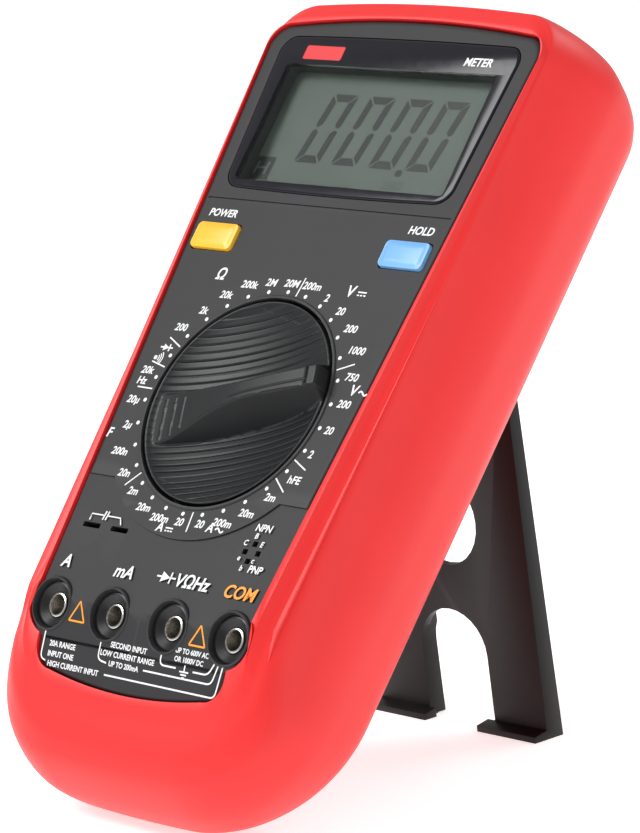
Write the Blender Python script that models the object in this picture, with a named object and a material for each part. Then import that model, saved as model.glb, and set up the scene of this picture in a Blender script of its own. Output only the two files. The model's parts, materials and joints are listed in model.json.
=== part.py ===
"""Handheld bench multimeter in a rubber holster, standing on its folding rear stand.

Every piece is modelled in the meter's own tilted frame, in millimetres: x to the right across the
panel, y up along the panel, z out of the panel, with the origin at the middle of the range dial on
the panel's face. The empty meter_frame turns that frame into the leaning pose and stands it on z = 0.
"""

import math

import bpy
from mathutils import Matrix, Vector

MM = 0.001

# Pose
LEAN = 38.5              # the panel's lean back from the vertical, degrees
STAND_OPENING = 45.0     # the stand's angle to the back when it rests on its stop, degrees

# Holster: (z at mid height, slope of z along y, half width at top, half width at bottom,
#           top, bottom, top corner radius, bottom corner radius)
LIP_TOP = 0.3
LIP_UNDERSIDE = -1.9
HOLSTER_BACK = -40.0
HOLSTER_SECTIONS = (
    (LIP_TOP, 0.0, 44.2, 34.0, 101.6, -73.2, 8.0, 12.0),
    (-1.4, 0.006, 45.4, 37.6, 104.6, -78.6, 8.5, 17.0),
    (-3.6, 0.012, 46.2, 40.6, 106.6, -83.0, 9.0, 24.0),
    (-11.0, 0.004, 47.4, 43.6, 107.4, -88.6, 10.0, 28.0),
    (-20.0, 0.0, 48.5, 45.5, 107.5, -92.0, 11.0, 30.0),
    (-27.5, 0.0, 47.7, 44.9, 106.4, -91.4, 12.0, 30.0),
    (-33.0, 0.0, 46.7, 43.7, 104.8, -88.8, 12.0, 30.0),
    (-36.0, 0.0, 45.4, 42.5, 103.0, -86.4, 11.0, 28.0),
    (-38.6, 0.0, 43.4, 40.4, 100.8, -83.6, 9.5, 26.0),
    (HOLSTER_BACK, 0.0, 40.6, 37.6, 98.0, -80.0, 8.0, 24.0),
)
END_SAG = 2.4            # how far the ends of each outline bow back at their corners

# The lower end of the panel, with the jacks, slopes back from BEND_Y down
BEND_Y = -50.0
BEND_SLOPE = 0.33
BEND_EASE = 3.0
HOLSTER_NOSE = ((-73.4, -6.6), (-80.0, -9.0), (-83.6, -11.0), (-88.6, -15.3), (-93.0, -23.0))

# Opening of the holster over the panel
OPENING_TOP = 100.8
OPENING_BOTTOM = -72.0
OPENING_TOP_HALF = 43.6
OPENING_SHOULDER_Y = -58.5     # below this the two cheeks close in
OPENING_SHOULDER_HALF = 33.9
OPENING_CHEEK_HALF = 30.2
OPENING_RADIUS = 5.5
JACK_NOTCH_RADIUS = 7.2

# Housing: front case and rear case share one outline
CASE_TOP = 101.6
CASE_BOTTOM = -78.0
CASE_TOP_HALF = 44.4
CASE_BOTTOM_HALF = 38.9
CASE_TOP_RADIUS = 8.0
CASE_BOTTOM_RADIUS = 22.0
CASE_SHOULDER = -2.3           # the ledge round the panel that the holster's lip covers
CASE_WALL = 2.0
PANEL_UNDERSIDE = -4.0
PARTING = -17.0
CASE_BACK = -34.0
REAR_WALL = 2.6
FIT_GAP = 0.3                  # clearance between neighbouring pieces

# Panel features
LOWER_ZONE_DEPTH = 0.4
LOWER_ZONE_EDGE = -22.8
DIAL_ZONE_RADIUS = 36.6
DIAL_WELL_RADIUS = 26.5
DIAL_WELL_FLOOR = -9.0
HUB_RADIUS = 8.5

LENS_TOP = 95.3
LENS_BOTTOM = 53.4
LENS_TOP_HALF = 38.1
LENS_BOTTOM_HALF = 35.5
LENS_RADIUS = 4.5
LENS_THICKNESS = 1.6
VIEW_TOP = 88.6
VIEW_BOTTOM = 55.8
VIEW_HALF = 33.2

BUTTON_SIZE = (13.4, 6.8)
BUTTON_TOP = 1.4
BUTTONS = {"power": (-30.2, 40.4), "hold": (30.2, 40.4)}

JACK_Y = -53.8
JACK_TILT = 15.0               # the jacks' lean with the sloping lower end, degrees
JACK_SPACING = 19.05
JACK_NAMES = ("20a", "ma", "volt_ohm", "common")
JACK_X = tuple((i - 1.5) * JACK_SPACING for i in range(4))
JACK_COLLAR_RADIUS = 6.6
JACK_COLLAR_TOP = 0.5
SHROUD_RADIUS = 5.4
SHROUD_TOP = 0.3
SLEEVE_RADIUS = 3.4
SLEEVE_BORE = 2.1
SLEEVE_TOP = -2.8
SLEEVE_END = -24.0

CAPACITOR_SLOTS_X = (-26.6, -17.8)
CAPACITOR_SLOT_Y = -34.8
CAPACITOR_SLOT = (6.0, 1.3)
TRANSISTOR_SOCKET = (24.5, -34.4)
TRANSISTOR_PITCH = 2.1
TRANSISTOR_HOLE = 1.3

# Range knob
KNOB_RADIUS = 25.7
KNOB_RIM = 0.7
KNOB_BOTTOM = -7.2
KNOB_DISH = 4.8
# The bar across the knob: (place along the pointer, half width of its top, height of its top)
KNOB_BAR_SECTIONS = (
    (-26.0, 6.5, -0.5), (-20.0, 6.2, -0.2), (-15.0, 5.2, 0.7), (-5.0, 3.3, 3.1),
    (4.0, 2.2, 4.5), (15.0, 2.3, 4.8), (26.0, 2.4, 4.5),
)
KNOB_BAR_FLANK = 2.1           # the flanks' drop per millimetre of width
KNOB_BAR_FOOT = -3.5
POINTER_ANGLE = 17.3           # the pointer's direction above the x axis, degrees
ROTOR_RADIUS = 20.0
DETENT_RADIUS = 1.2

# Circuit board
BOARD_TOP = -14.0
BOARD_THICKNESS = 1.6
BOARD_UNDERSIDE = BOARD_TOP - BOARD_THICKNESS
BOARD_UPPER = 58.0
BOARD_LOWER = -72.0

# Fasteners: posts under the panel take the case screws, pillars take the board screws
CASE_POSTS = ((-38.3, 94.8), (38.3, 94.8), (-27.0, -69.0), (27.0, -69.0))
BOARD_POSTS = ((-29.0, 33.0), (29.0, 30.0), (0.0, -33.0))
POST_RADIUS = 3.0
SCREW_RADIUS = 1.3
SMALL_SCREW_RADIUS = 1.0
SCREW_HEAD_RADIUS = 2.6

# Battery, behind the display
BATTERY = (48.5, 17.5, 26.5)   # length, thickness, width
BATTERY_CENTRE = (-1.5, 75.3, -22.3)
DOOR = (57.4, 55.9, 91.7)      # width, lower edge, upper edge

# Folding stand
HINGE_Y = 42.0
HINGE_Z = -38.5
HINGE_TUBE_RADIUS = 2.1
HINGE_STUB_RADIUS = 1.3
HINGE_STUB_HALF = 29.6
HINGE_TUBE_HALF = 26.4
STAND_FACE = 1.8               # the plate's front face, behind the hinge axis
STAND_HALF = 27.0
STAND_PLATE = 2.4
STAND_RIB = 2.6
STAND_DEPTH_TOP = 3.0
STAND_DEPTH_FOOT = 5.4
STAND_HOLE = (48.0, 12.0)      # distance from the hinge, radius
STAND_ARCH_TOP = 71.0
STAND_ARCH_HALF = 10.5
STAND_LIP = 4.4
STAND_LIP_THICKNESS = 1.5

ROUND_STEPS = 7                # points in each rounded corner


# ---------------------------------------------------------------- scene, materials, basic solids

def clear_scene():
    for thing in list(bpy.data.objects):
        bpy.data.objects.remove(thing, do_unlink=True)


def make_material(name, colour, roughness, metallic=0.0):
    material = bpy.data.materials.new(name)
    material.use_nodes = True
    shader = material.node_tree.nodes["Principled BSDF"]
    shader.inputs["Base Color"].default_value = (*colour, 1.0)
    shader.inputs["Roughness"].default_value = roughness
    shader.inputs["Metallic"].default_value = metallic
    return material


def make_materials():
    table = {
        "holster_rubber": ((0.80, 0.06, 0.06), 0.5),
        "case_plastic": ((0.075, 0.075, 0.08), 0.5),
        "lens_plastic": ((0.03, 0.03, 0.035), 0.12),
        "lcd_glass": ((0.17, 0.21, 0.17), 0.25),
        "white_plastic": ((0.7, 0.7, 0.68), 0.5),
        "conductive_rubber": ((0.55, 0.45, 0.5), 0.7),
        "circuit_board": ((0.03, 0.16, 0.06), 0.45),
        "knob_plastic": ((0.028, 0.03, 0.033), 0.4),
        "yellow_plastic": ((0.95, 0.5, 0.04), 0.4),
        "blue_plastic": ((0.16, 0.36, 0.66), 0.4),
        "black_plastic": ((0.02, 0.02, 0.02), 0.4),
        "stand_plastic": ((0.028, 0.025, 0.024), 0.5),
        "nickel": ((0.6, 0.6, 0.58), 0.25, 1.0),
        "steel": ((0.55, 0.55, 0.56), 0.3, 1.0),
        "manganin": ((0.6, 0.42, 0.3), 0.35, 1.0),
        "fuse_coating": ((0.75, 0.5, 0.05), 0.5),
        "battery_wrap": ((0.25, 0.27, 0.3), 0.35),
        "red_wire": ((0.6, 0.02, 0.02), 0.5),
        "black_wire": ((0.02, 0.02, 0.02), 0.5),
        "blue_resin": ((0.05, 0.15, 0.5), 0.4),
    }
    return {name: make_material(name, *values) for name, values in table.items()}


def add_object(name, mesh, material, parent, place=(0.0, 0.0, 0.0)):
    piece = bpy.data.objects.new(name, mesh)
    bpy.context.collection.objects.link(piece)
    piece.parent = parent
    piece.location = Vector(place) * MM
    if material is not None:
        mesh.materials.append(material)
    return piece


def mesh_from(name, points, faces, smooth_angle=35.0):
    """A mesh in metres from points in millimetres."""
    mesh = bpy.data.meshes.new(name)
    mesh.from_pydata([Vector(p) * MM for p in points], [], faces)
    mesh.update()
    mesh.shade_smooth()
    mesh.set_sharp_from_angle(angle=math.radians(smooth_angle))
    return mesh


def loft_data(rings):
    """Points and faces of a closed solid through rings of equal length, lowest ring first."""
    count = len(rings[0])
    points = [p for ring in rings for p in ring]
    faces = [tuple(reversed(range(count)))]
    for level in range(len(rings) - 1):
        low = level * count
        high = low + count
        for i in range(count):
            j = (i + 1) % count
            faces.append((low + i, low + j, high + j, high + i))
    faces.append(tuple(range(len(points) - count, len(points))))
    return points, faces


def prism_data(outline, low, high):
    """An outline of (x, y) points, anticlockwise from above, extruded from z = low to z = high."""
    return loft_data([[(x, y, z) for x, y in outline] for z in (low, high)])


def turned_data(profile, steps, centre=(0.0, 0.0)):
    """A solid of revolution about z: profile is (radius, z) from the bottom up, without the axis."""
    rings = []
    for radius, z in profile:
        rings.append([
            (centre[0] + radius * math.cos(2 * math.pi * i / steps),
             centre[1] + radius * math.sin(2 * math.pi * i / steps), z)
            for i in range(steps)
        ])
    return loft_data(rings)


def box_data(low, high):
    outline = ((low[0], low[1]), (high[0], low[1]), (high[0], high[1]), (low[0], high[1]))
    return prism_data(outline, low[2], high[2])


def joined_data(*shapes):
    """Several closed shapes as one list of points and faces."""
    points = []
    faces = []
    for shape_points, shape_faces in shapes:
        start = len(points)
        points.extend(shape_points)
        faces.extend(tuple(start + i for i in face) for face in shape_faces)
    return points, faces


def add_solid(name, shape, material, parent, place=(0.0, 0.0, 0.0)):
    return add_object(name, mesh_from(name, *shape), material, parent, place)


def add_tool(name, shape, target, operation):
    """A hidden shape that is cut from the target, or joined to it."""
    tool = add_object(name, mesh_from(name, *shape), None, target.parent)
    tool.location = target.location
    tool.hide_render = True
    tool.display_type = "WIRE"
    modifier = target.modifiers.new(name, "BOOLEAN")
    modifier.operation = operation
    modifier.solver = "EXACT"
    modifier.object = tool
    return tool


def tilted(shape, x):
    """A shape about a jack's axis, put in its place on the sloping lower end."""
    points, faces = shape
    angle = math.radians(JACK_TILT)
    turn = Matrix.Translation((x, JACK_Y, -bend(JACK_Y))) @ Matrix.Rotation(angle, 4, "X")
    return [turn @ Vector(p) for p in points], faces


# ---------------------------------------------------------------- outlines

def bend(y):
    """How far the front surface at this height lies below the panel's plane."""
    run = max(0.0, BEND_Y - y)
    return BEND_SLOPE * run * run / (run + BEND_EASE)


def above_slope(height, nose=()):
    """Everything in front of the sloping lower end, offset by height from the panel's surface."""
    reach = 70.0
    line = [(BEND_Y + 0.01, height)]
    line += [(y, height - bend(y)) for y in (-51.0, -52.5, -55.0, -60.0, -66.0, -72.0)]
    line += list(nose) or [(-100.0, height - bend(-100.0))]
    profile = [(line[-1][0], 12.0), *reversed(line), (BEND_Y + 0.01, 12.0)]
    return loft_data([[(x, y, z) for y, z in profile] for x in (-reach, reach)])


def circle(radius, steps, centre=(0.0, 0.0)):
    return [
        (centre[0] + radius * math.cos(2 * math.pi * i / steps),
         centre[1] + radius * math.sin(2 * math.pi * i / steps))
        for i in range(steps)
    ]


def plate_outline(top_half, bottom_half, top, bottom, top_radius, bottom_radius, sag=0.0, steps=ROUND_STEPS):
    """A trapezoid with rounded corners and ends that bow out by sag, anticlockwise from the bottom centre."""

    def side(y):
        return bottom_half + (top_half - bottom_half) * (y - bottom) / (top - bottom)

    def bottom_edge(x):
        return bottom + sag * (x / bottom_half) ** 2

    def top_edge(x):
        return top - sag * (x / top_half) ** 2

    flat_bottom = bottom_half - bottom_radius
    flat_top = top_half - top_radius
    low_corner = bottom_edge(flat_bottom) + bottom_radius
    high_corner = top_edge(flat_top) - top_radius
    right = [(0.0, bottom), (flat_bottom / 2, bottom_edge(flat_bottom / 2))]
    for i in range(steps):
        angle = math.pi / 2 * i / (steps - 1)
        reach = side(low_corner) - flat_bottom
        right.append((flat_bottom + reach * math.sin(angle), low_corner - bottom_radius * math.cos(angle)))
    for i in range(steps):
        angle = math.pi / 2 * i / (steps - 1)
        reach = side(high_corner) - flat_top
        right.append((flat_top + reach * math.cos(angle), high_corner + top_radius * math.sin(angle)))
    right += [(flat_top / 2, top_edge(flat_top / 2)), (0.0, top)]
    left = [(-x, y) for x, y in reversed(right[1:-1])]
    return right + left


def opening_outline(inset=0.0):
    """The panel's visible field: a trapezoid that steps in at two cheeks beside the jacks."""
    top = OPENING_TOP - inset
    bottom = OPENING_BOTTOM + inset
    top_half = OPENING_TOP_HALF - inset
    shoulder_half = OPENING_SHOULDER_HALF - inset
    cheek_half = OPENING_CHEEK_HALF - inset
    radius = OPENING_RADIUS
    right = [(0.0, bottom)]
    for i in range(ROUND_STEPS):
        angle = math.pi / 2 * i / (ROUND_STEPS - 1)
        right.append((cheek_half - radius + radius * math.sin(angle),
                      bottom + 0.8 + radius - radius * math.cos(angle)))
    right += [(cheek_half, OPENING_SHOULDER_Y - 2.0 - inset), (shoulder_half, OPENING_SHOULDER_Y - inset)]
    for i in range(ROUND_STEPS):
        angle = math.pi / 2 * i / (ROUND_STEPS - 1)
        right.append((top_half - radius + radius * math.cos(angle),
                      top - END_SAG - radius + radius * math.sin(angle)))
    right += [(top_half * 0.45, top - END_SAG * 0.2), (0.0, top)]
    left = [(-x, y) for x, y in reversed(right[1:-1])]
    return right + left


def case_outline(inset=0.0):
    return plate_outline(CASE_TOP_HALF - inset, CASE_BOTTOM_HALF - inset, CASE_TOP - inset, CASE_BOTTOM + inset,
                         CASE_TOP_RADIUS - inset / 2, CASE_BOTTOM_RADIUS - inset / 2, END_SAG)


def lens_outline(inset=0.0):
    return plate_outline(LENS_TOP_HALF - inset, LENS_BOTTOM_HALF - inset, LENS_TOP - inset, LENS_BOTTOM + inset,
                         LENS_RADIUS - inset / 2, LENS_RADIUS - inset / 2, 0.6, 5)


def rounded_box(size, radius, steps=4):
    """A rectangle with round corners about the origin."""
    half_x = size[0] / 2 - radius
    half_y = size[1] / 2 - radius
    outline = []
    for quarter, (sx, sy) in enumerate(((1, 1), (-1, 1), (-1, -1), (1, -1))):
        for i in range(steps):
            angle = math.pi / 2 * (quarter + i / (steps - 1))
            outline.append((sx * half_x + radius * math.cos(angle), sy * half_y + radius * math.sin(angle)))
    return outline


def moved(outline, place):
    return [(x + place[0], y + place[1]) for x, y in outline]


# ---------------------------------------------------------------- holster and case

def holster_ring(z, slope, top_half, bottom_half, top, bottom, top_radius, bottom_radius):
    outline = plate_outline(top_half, bottom_half, top, bottom, top_radius, bottom_radius, END_SAG)
    return [(x, y, z + slope * y) for x, y in outline]


def stand_pocket():
    """Room in the holster's back for the hinge tube, its stubs and the two foot lips."""
    reach = STAND_HALF + 0.6
    groove = box_data((-reach, HINGE_Y - 6.0, HINGE_Z - 3.0), (reach, HINGE_Y + 4.5, HINGE_Z + 2.8))
    stubs = []
    for side in (-1, 1):
        steps = 12
        ring = [(HINGE_Y + (HINGE_STUB_RADIUS + 0.3) * math.cos(2 * math.pi * i / steps),
                 HINGE_Z + (HINGE_STUB_RADIUS + 0.3) * math.sin(2 * math.pi * i / steps)) for i in range(steps)]
        inner = side * (STAND_HALF + 0.1)
        outer = side * (HINGE_STUB_HALF + 0.4)
        low, high = min(inner, outer), max(inner, outer)
        stubs.append(loft_data([[(x, y, z) for y, z in ring] for x in (low, high)]))
    foot = stand_length()
    slots = []
    for side in (-1, 1):
        low, high = sorted((side * (STAND_ARCH_HALF - 2.6), side * (STAND_HALF + 0.8)))
        slots.append(box_data((low, HINGE_Y - foot - 1.6, HOLSTER_BACK - 1.0),
                              (high, HINGE_Y - foot + 4.2, HOLSTER_BACK + STAND_LIP + 0.6)))
    return groove, stubs, slots


def add_holster(materials, frame):
    rings = [holster_ring(*section) for section in reversed(HOLSTER_SECTIONS)]
    holster = add_solid("holster", loft_data(rings), materials["holster_rubber"], frame)
    add_tool("holster_slope", above_slope(LIP_TOP, HOLSTER_NOSE), holster, "DIFFERENCE")
    cavity_data = prism_data(case_outline(-FIT_GAP), CASE_BACK - FIT_GAP, LIP_UNDERSIDE)
    cavity = add_tool("holster_cavity", cavity_data, holster, "DIFFERENCE")
    add_tool("holster_cavity_slope", above_slope(LIP_UNDERSIDE), cavity, "DIFFERENCE")
    opening = prism_data(opening_outline(), -12.0, LIP_TOP + 3.0)
    add_tool("holster_opening", opening, holster, "DIFFERENCE")
    notches = [prism_data(circle(JACK_NOTCH_RADIUS, 24, (x, JACK_Y)), -9.0, LIP_TOP + 2.9)
               for x in (JACK_X[0], JACK_X[-1])]
    add_tool("holster_jack_notches", joined_data(*notches), holster, "DIFFERENCE")
    groove, stubs, slots = stand_pocket()
    add_tool("holster_hinge_groove", groove, holster, "DIFFERENCE")
    add_tool("holster_stub_holes", joined_data(*stubs), holster, "DIFFERENCE")
    add_tool("holster_foot_slots", joined_data(*slots), holster, "DIFFERENCE")
    return holster


def lower_zone_outline():
    """The panel below the dial: its upper edge runs straight in and then round the dial."""
    reach = CASE_TOP_HALF + 4.0
    start = math.asin(LOWER_ZONE_EDGE / DIAL_ZONE_RADIUS)
    steps = 18
    arc = []
    for i in range(steps + 1):
        angle = math.pi - start + (math.pi + 2 * start) * i / steps
        arc.append((DIAL_ZONE_RADIUS * math.cos(angle), DIAL_ZONE_RADIUS * math.sin(angle)))
    return [(-reach, LOWER_ZONE_EDGE), (-reach, CASE_BOTTOM - 4.0), (reach, CASE_BOTTOM - 4.0),
            (reach, LOWER_ZONE_EDGE)] + list(reversed(arc))


def add_front_case(materials, frame):
    outer = loft_data([[(x, y, z) for x, y in case_outline(inset)] for inset, z in
                       ((0.0, PARTING), (0.0, CASE_SHOULDER - 0.6), (0.5, CASE_SHOULDER))])
    case = add_solid("front_case", outer, materials["case_plastic"], frame)
    add_tool("front_case_slope", above_slope(CASE_SHOULDER), case, "DIFFERENCE")
    field_gap = 0.35
    field_data = loft_data([[(x, y, z) for x, y in opening_outline(field_gap + inset)] for inset, z in
                            ((0.0, -13.0), (0.0, -1.4), (0.5, -0.5), (1.3, 0.0))])
    field = add_tool("front_case_field", field_data, case, "UNION")
    add_tool("front_case_field_slope", above_slope(-LOWER_ZONE_DEPTH), field, "DIFFERENCE")
    lower = prism_data(lower_zone_outline(), -LOWER_ZONE_DEPTH, 3.0)
    add_tool("front_case_lower_zone", lower, case, "DIFFERENCE")
    hollow_data = prism_data(case_outline(CASE_WALL), PARTING - 3.0, PANEL_UNDERSIDE)
    hollow = add_tool("front_case_hollow", hollow_data, case, "DIFFERENCE")
    add_tool("front_case_hollow_slope", above_slope(PANEL_UNDERSIDE), hollow, "DIFFERENCE")
    collar = turned_data(((JACK_COLLAR_RADIUS, PANEL_UNDERSIDE + 0.4), (JACK_COLLAR_RADIUS, JACK_COLLAR_TOP - 0.5),
                          (JACK_COLLAR_RADIUS - 0.6, JACK_COLLAR_TOP)), 24)
    bosses = [tilted(collar, x) for x in JACK_X]
    bosses.append(prism_data(circle(DIAL_WELL_RADIUS + 1.6, 40), DIAL_WELL_FLOOR - 1.2, PANEL_UNDERSIDE + 0.5))
    bosses += [prism_data(circle(POST_RADIUS, 12, place), PARTING + 0.3, PANEL_UNDERSIDE + 0.4 - bend(place[1] + 2.0))
               for place in CASE_POSTS]
    bosses += [prism_data(circle(POST_RADIUS, 12, place), BOARD_TOP + FIT_GAP, PANEL_UNDERSIDE + 0.4)
               for place in BOARD_POSTS]
    add_tool("front_case_bosses", joined_data(*bosses), case, "UNION")
    recess = prism_data(lens_outline(-0.25), -LENS_THICKNESS, 4.0)
    view = prism_data(moved(rounded_box((2 * VIEW_HALF, VIEW_TOP - VIEW_BOTTOM), 2.0),
                            (0.0, (VIEW_TOP + VIEW_BOTTOM) / 2)), PANEL_UNDERSIDE - 1.0, -LENS_THICKNESS + 0.5)
    holes = [prism_data(circle(DIAL_WELL_RADIUS, 40), DIAL_WELL_FLOOR + 1.5, 4.0),
             recess]
    jack_hole = turned_data(((SHROUD_RADIUS + 0.15, PANEL_UNDERSIDE - 3.0), (SHROUD_RADIUS + 0.15, 4.0)), 24)
    holes += [tilted(jack_hole, x) for x in JACK_X]
    holes += [prism_data(moved(rounded_box([s + 0.6 for s in BUTTON_SIZE], 1.3), place), PANEL_UNDERSIDE - 1.0, 4.0)
              for place in BUTTONS.values()]
    holes += [prism_data(moved(rounded_box(CAPACITOR_SLOT, 0.4, 3), (x, CAPACITOR_SLOT_Y)), PANEL_UNDERSIDE - 1.0, 4.0)
              for x in CAPACITOR_SLOTS_X]
    holes += [box_data((x - TRANSISTOR_HOLE / 2, y - TRANSISTOR_HOLE / 2, PANEL_UNDERSIDE - 1.0),
                       (x + TRANSISTOR_HOLE / 2, y + TRANSISTOR_HOLE / 2, 4.0)) for x, y in transistor_holes()]
    holes += [prism_data(circle(SCREW_RADIUS + FIT_GAP, 10, place), PARTING - 1.0, screw_end(place) + 0.8)
              for place in CASE_POSTS]
    holes += [prism_data(circle(SMALL_SCREW_RADIUS + FIT_GAP, 10, place), BOARD_TOP - 1.0, BOARD_TOP + 6.0)
              for place in BOARD_POSTS]
    add_tool("front_case_holes", joined_data(*holes), case, "DIFFERENCE")
    through = [view, prism_data(circle(HUB_RADIUS + 0.4, 24), DIAL_WELL_FLOOR - 3.0, DIAL_WELL_FLOOR + 2.5)]
    add_tool("front_case_windows", joined_data(*through), case, "DIFFERENCE")
    return case


def screw_end(place):
    """Where a case screw's tip lies: short of the panel, which is lower at its sloping end."""
    return PARTING + 8.0 - 0.6 * bend(place[1])


def transistor_holes():
    """Four holes at the corners of a diamond."""
    x, y = TRANSISTOR_SOCKET
    step = TRANSISTOR_PITCH
    return ((x, y + step), (x + step, y), (x, y - step), (x - step, y))


def add_rear_case(materials, frame):
    outer = loft_data([[(x, y, z) for x, y in case_outline(inset)] for inset, z in
                       ((1.6, CASE_BACK), (0.3, CASE_BACK + 0.6), (0.0, CASE_BACK + 1.8), (0.0, PARTING - FIT_GAP))])
    case = add_solid("rear_case", outer, materials["case_plastic"], frame)
    hollow = prism_data(case_outline(CASE_WALL), CASE_BACK + REAR_WALL, PARTING + 3.0)
    add_tool("rear_case_hollow", hollow, case, "DIFFERENCE")
    bosses = [prism_data(circle(POST_RADIUS + 0.8, 12, place), CASE_BACK + 1.0, PARTING - FIT_GAP)
              for place in CASE_POSTS]
    bosses.append(prism_data(circle(POST_RADIUS, 12, door_screw_place()), CASE_BACK + 1.0, CASE_BACK + 10.0))
    add_tool("rear_case_bosses", joined_data(*bosses), case, "UNION")
    width, low, high = DOOR
    door_seat = box_data((-width / 2 - 0.3, low - 0.3, CASE_BACK - 1.0), (width / 2 + 0.3, high + 0.3, CASE_BACK + 1.6))
    holes = [prism_data(circle(SCREW_HEAD_RADIUS + 0.3, 14, place), CASE_BACK - 1.0, CASE_BACK + 4.0)
             for place in CASE_POSTS]
    add_tool("rear_case_recesses", joined_data(door_seat, *holes), case, "DIFFERENCE")
    battery_way = box_data((-width / 2 + 1.7, low + 5.3, CASE_BACK + 1.0),
                           (width / 2 - 1.7, high - 1.7, CASE_BACK + REAR_WALL + 1.0))
    bores = [prism_data(circle(SCREW_RADIUS + FIT_GAP, 10, place), CASE_BACK + 3.5, PARTING + 2.0)
             for place in CASE_POSTS]
    bores.append(prism_data(circle(SMALL_SCREW_RADIUS + FIT_GAP, 10, door_screw_place()),
                            CASE_BACK + 1.2, CASE_BACK + 8.6))
    add_tool("rear_case_bores", joined_data(battery_way, *bores), case, "DIFFERENCE")
    return case


def door_screw_place():
    return (0.0, DOOR[1] + 2.7)


def add_battery_door(materials, frame):
    width, low, high = DOOR
    door = add_solid("battery_door", box_data((-width / 2, low, CASE_BACK + 0.05), (width / 2, high, CASE_BACK + 1.3)),
                     materials["case_plastic"], frame)
    place = door_screw_place()
    hole = turned_data(((SCREW_HEAD_RADIUS + 0.6, CASE_BACK - 0.3), (SMALL_SCREW_RADIUS + 0.6, CASE_BACK + 1.2),
                        (SMALL_SCREW_RADIUS + 0.6, CASE_BACK + 2.0)), 16, place)
    add_tool("battery_door_hole", hole, door, "DIFFERENCE")
    screw = turned_data(((SCREW_HEAD_RADIUS, CASE_BACK + 0.1), (SMALL_SCREW_RADIUS, CASE_BACK + 1.5),
                         (SMALL_SCREW_RADIUS, CASE_BACK + 8.0)), 12, place)
    add_solid("battery_door_screw", screw, materials["steel"], frame)


# ---------------------------------------------------------------- display, controls and sockets

def add_display(materials, frame):
    lens = loft_data([[(x, y, z) for x, y in lens_outline(inset)] for inset, z in
                      ((0.0, -LENS_THICKNESS + 0.1), (0.0, 0.0), (0.4, 0.3))])
    add_solid("display_window", lens, materials["lens_plastic"], frame)
    glass_top = PANEL_UNDERSIDE - FIT_GAP
    glass_low = glass_top - 2.8
    add_solid("lcd_glass", box_data((-34.6, 54.6, glass_low), (34.6, 89.2, glass_top)), materials["lcd_glass"], frame)
    frame_outer = box_data((-36.4, 52.4, glass_low - 1.8), (36.4, 91.0, glass_top))
    lcd_frame = add_solid("lcd_frame", frame_outer, materials["white_plastic"], frame)
    pocket = box_data((-34.9, 54.3, glass_low - 0.3), (34.9, 89.5, glass_top + 1.0))
    add_tool("lcd_frame_pocket", pocket, lcd_frame, "DIFFERENCE")
    slot = box_data((-32.0, 55.0, glass_low - 3.0), (32.0, 57.6, glass_low + 0.5))
    back_window = box_data((-31.0, 62.0, glass_low - 3.1), (31.0, 86.0, glass_low + 0.6))
    add_tool("lcd_frame_slots", joined_data(slot, back_window), lcd_frame, "DIFFERENCE")
    strip = box_data((-31.5, 55.3, BOARD_TOP + FIT_GAP), (31.5, 57.3, glass_low - FIT_GAP))
    add_solid("zebra_strip", strip, materials["conductive_rubber"], frame)


def knob_bar_size(u):
    """Half the width and the height of the bar's top at a place along the pointer."""
    for (start, half_a, top_a), (end, half_b, top_b) in zip(KNOB_BAR_SECTIONS, KNOB_BAR_SECTIONS[1:]):
        if u <= end:
            share = (u - start) / (end - start)
            return half_a + (half_b - half_a) * share, top_a + (top_b - top_a) * share
    raise ValueError(f"{u} mm lies beyond the knob's bar")


def add_knob(materials, knob_axis):
    """A dished disc on a hub that goes through the well's floor, with a tapering bar across it."""
    profile = [(HUB_RADIUS - 3.0, -12.2), (HUB_RADIUS - 3.0, -9.3), (HUB_RADIUS, -9.3), (HUB_RADIUS, KNOB_BOTTOM),
               (KNOB_RADIUS, KNOB_BOTTOM), (KNOB_RADIUS, KNOB_RIM - 0.6), (KNOB_RADIUS - 0.5, KNOB_RIM)]
    profile += [(radius, KNOB_RIM - KNOB_DISH * (1.0 - (radius / KNOB_RADIUS) ** 2) ** 0.8)
                for radius in (24.0, 21.0, 17.0, 12.0, 6.0, 1.0)]
    knob = add_solid("range_knob", turned_data(profile, 40), materials["knob_plastic"], knob_axis)
    turn = math.radians(POINTER_ANGLE)
    reach = KNOB_RADIUS - 0.4
    rings = []
    for u in (-25.25, -24.9, -24.2, -22.0, -18.0, -12.0, -5.0, 0.0, 4.0, 12.0, 20.0, 24.0, 25.0):
        half, top = knob_bar_size(u)
        limit = math.sqrt(reach ** 2 - u ** 2)
        foot = min(half + (top - KNOB_BAR_FOOT) / KNOB_BAR_FLANK, limit)
        half = min(half, limit - 0.1)
        section = ((-foot, KNOB_BOTTOM + 1.0), (foot, KNOB_BOTTOM + 1.0), (foot, KNOB_BAR_FOOT), (half, top),
                   (-half, top), (-foot, KNOB_BAR_FOOT))
        rings.append([(u * math.cos(turn) - v * math.sin(turn), u * math.sin(turn) + v * math.cos(turn), z)
                      for v, z in section])
    add_tool("range_knob_bar", loft_data(rings), knob, "UNION")


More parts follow.
